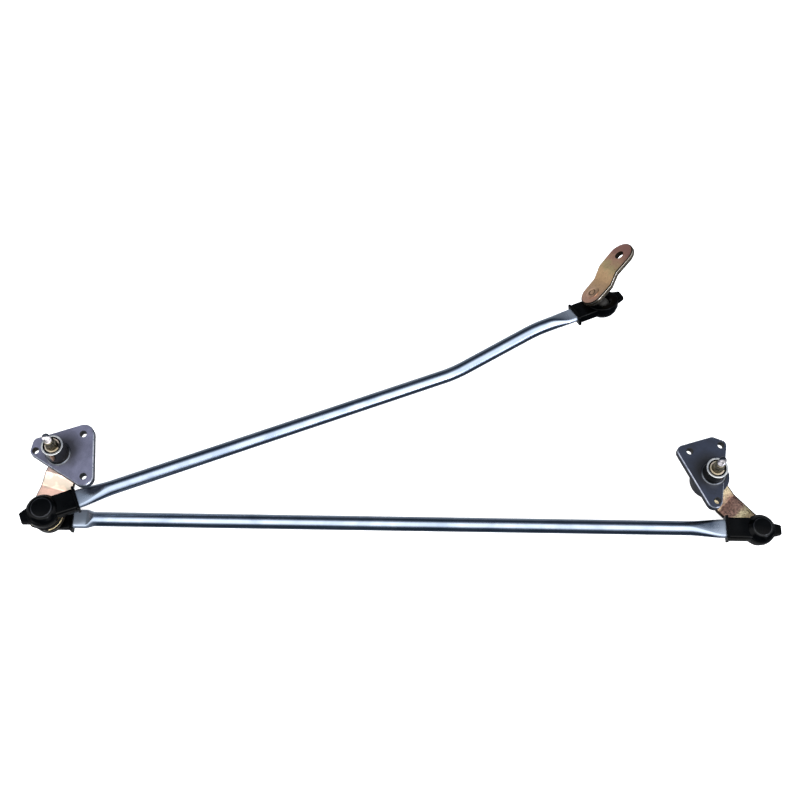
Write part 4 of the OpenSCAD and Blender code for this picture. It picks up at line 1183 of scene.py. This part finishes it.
# %% Table
TABLE_HALF, TABLE_GAP = 6.0, 0.0003
TABLE_MIDDLE = (0.37, 0.1)
table = bpy.data.meshes.new("table")
table.from_pydata([(-TABLE_HALF, -TABLE_HALF, 0), (TABLE_HALF, -TABLE_HALF, 0), (TABLE_HALF, TABLE_HALF, 0),
                   (-TABLE_HALF, TABLE_HALF, 0)], [], [(0, 1, 2, 3)])
table.transform(Matrix.Translation((*TABLE_MIDDLE, floor_z * MM - TABLE_GAP)))
table_top = bpy.data.objects.new("table", table)
bpy.context.collection.objects.link(table_top)
table_top.visible_glossy = False
table_top.visible_diffuse = False
table_top.visible_shadow = False
white = new_finish("white table", metallic=0.0, roughness=0.9, Base_Color=(0.9, 0.9, 0.9, 1),
                   Specular_IOR_Level=0.0, Emission_Color=(1, 1, 1, 1), Emission_Strength=0.7)
table.materials.append(white)
print("table at", round(floor_z, 2))

# %% Light
ROOM_STRENGTH = 3.6
world = bpy.data.worlds.new("studio")
bpy.context.scene.world = world
world.use_nodes = True
nodes, links = world.node_tree.nodes, world.node_tree.links
direction = nodes.new("ShaderNodeTexCoord")


def maths(operation, *values):
    """A vector maths node: links for sockets, constants for the rest."""
    node = nodes.new("ShaderNodeVectorMath")
    node.operation = operation
    for socket, value in zip(node.inputs, values):
        if isinstance(value, bpy.types.NodeSocket):
            links.new(value, socket)
        else:
            socket.default_value = value
    return node.outputs["Value" if operation == "DOT_PRODUCT" else "Vector"]


def lobe(towards, stops, squeeze=(1, 1, 1)):
    """Colour by the cosine between a direction and the lobe's axis; a squeezed axis widens the lobe."""
    squeezed = maths("NORMALIZE", maths("MULTIPLY", direction.outputs["Generated"], squeeze))
    colours = nodes.new("ShaderNodeValToRGB")
    set_stops(colours, stops)
    links.new(maths("DOT_PRODUCT", squeezed, Vector(towards).normalized()), colours.inputs["Fac"])
    return colours.outputs["Color"]


softbox = lobe((0.05, -0.38, 0.92), [
    (0.50, (0.008, 0.014, 0.022)), (0.76, (0.09, 0.105, 0.13)), (0.95, (1, 1, 1))], squeeze=(0.5, 1, 1))
sweep = lobe((-0.3, 0.5, -0.8), [(0.1, (0, 0, 0)), (0.9, (0.24, 0.24, 0.24))])
left_strip = lobe((-0.9, -0.2, 0.32), [(0.86, (0, 0, 0)), (0.95, (0.5, 0.5, 0.52))])
right_strip = lobe((0.9, 0.15, 0.27), [(0.86, (0, 0, 0)), (0.95, (0.5, 0.5, 0.52))])
lamp = lobe((0.6, -0.7, 0.38), [
    (0.90, (0, 0, 0)), (0.975, (0.45, 0.45, 0.47)), (0.993, (0.5, 0.5, 0.54)), (0.997, (5, 5.4, 6.4))])
glow = maths("ADD", maths("ADD", softbox, sweep), maths("ADD", lamp, maths("ADD", left_strip, right_strip)))

# %% White ground behind the lights
room = nodes["Background"]
room.inputs["Strength"].default_value = ROOM_STRENGTH
seen = nodes.new("ShaderNodeBackground")
seen.inputs["Color"].default_value = (1, 1, 1, 1)
path = nodes.new("ShaderNodeLightPath")
choose = nodes.new("ShaderNodeMixShader")
links.new(glow, room.inputs["Color"])
links.new(path.outputs["Is Camera Ray"], choose.inputs["Fac"])
links.new(room.outputs["Background"], choose.inputs[1])
links.new(seen.outputs["Background"], choose.inputs[2])
links.new(choose.outputs["Shader"], nodes["World Output"].inputs["Surface"])
bpy.context.scene.view_settings.view_transform = "Standard"
print("light nodes:", len(nodes))

# %% Camera
CAMERA_AT = (0.3743, -0.4345, 1.2136)
FOCAL_LENGTH, SENSOR_WIDTH = 54.0, 36.0
LOOK_DOWN, LOOK_LEFT = math.radians(67.5), math.radians(0.913)
forward = Vector((-math.sin(LOOK_LEFT) * math.cos(LOOK_DOWN), math.cos(LOOK_LEFT) * math.cos(LOOK_DOWN),
                  -math.sin(LOOK_DOWN)))
right = Vector((math.cos(LOOK_LEFT), math.sin(LOOK_LEFT), 0))
camera = bpy.data.objects.new("camera", bpy.data.cameras.new("camera"))
bpy.context.collection.objects.link(camera)
camera.matrix_world = Matrix((right, right.cross(forward), -forward)).transposed().to_4x4()
camera.matrix_world.translation = CAMERA_AT
camera.data.lens = FOCAL_LENGTH
camera.data.sensor_width = SENSOR_WIDTH
bpy.context.scene.camera = camera
print("camera at", CAMERA_AT)
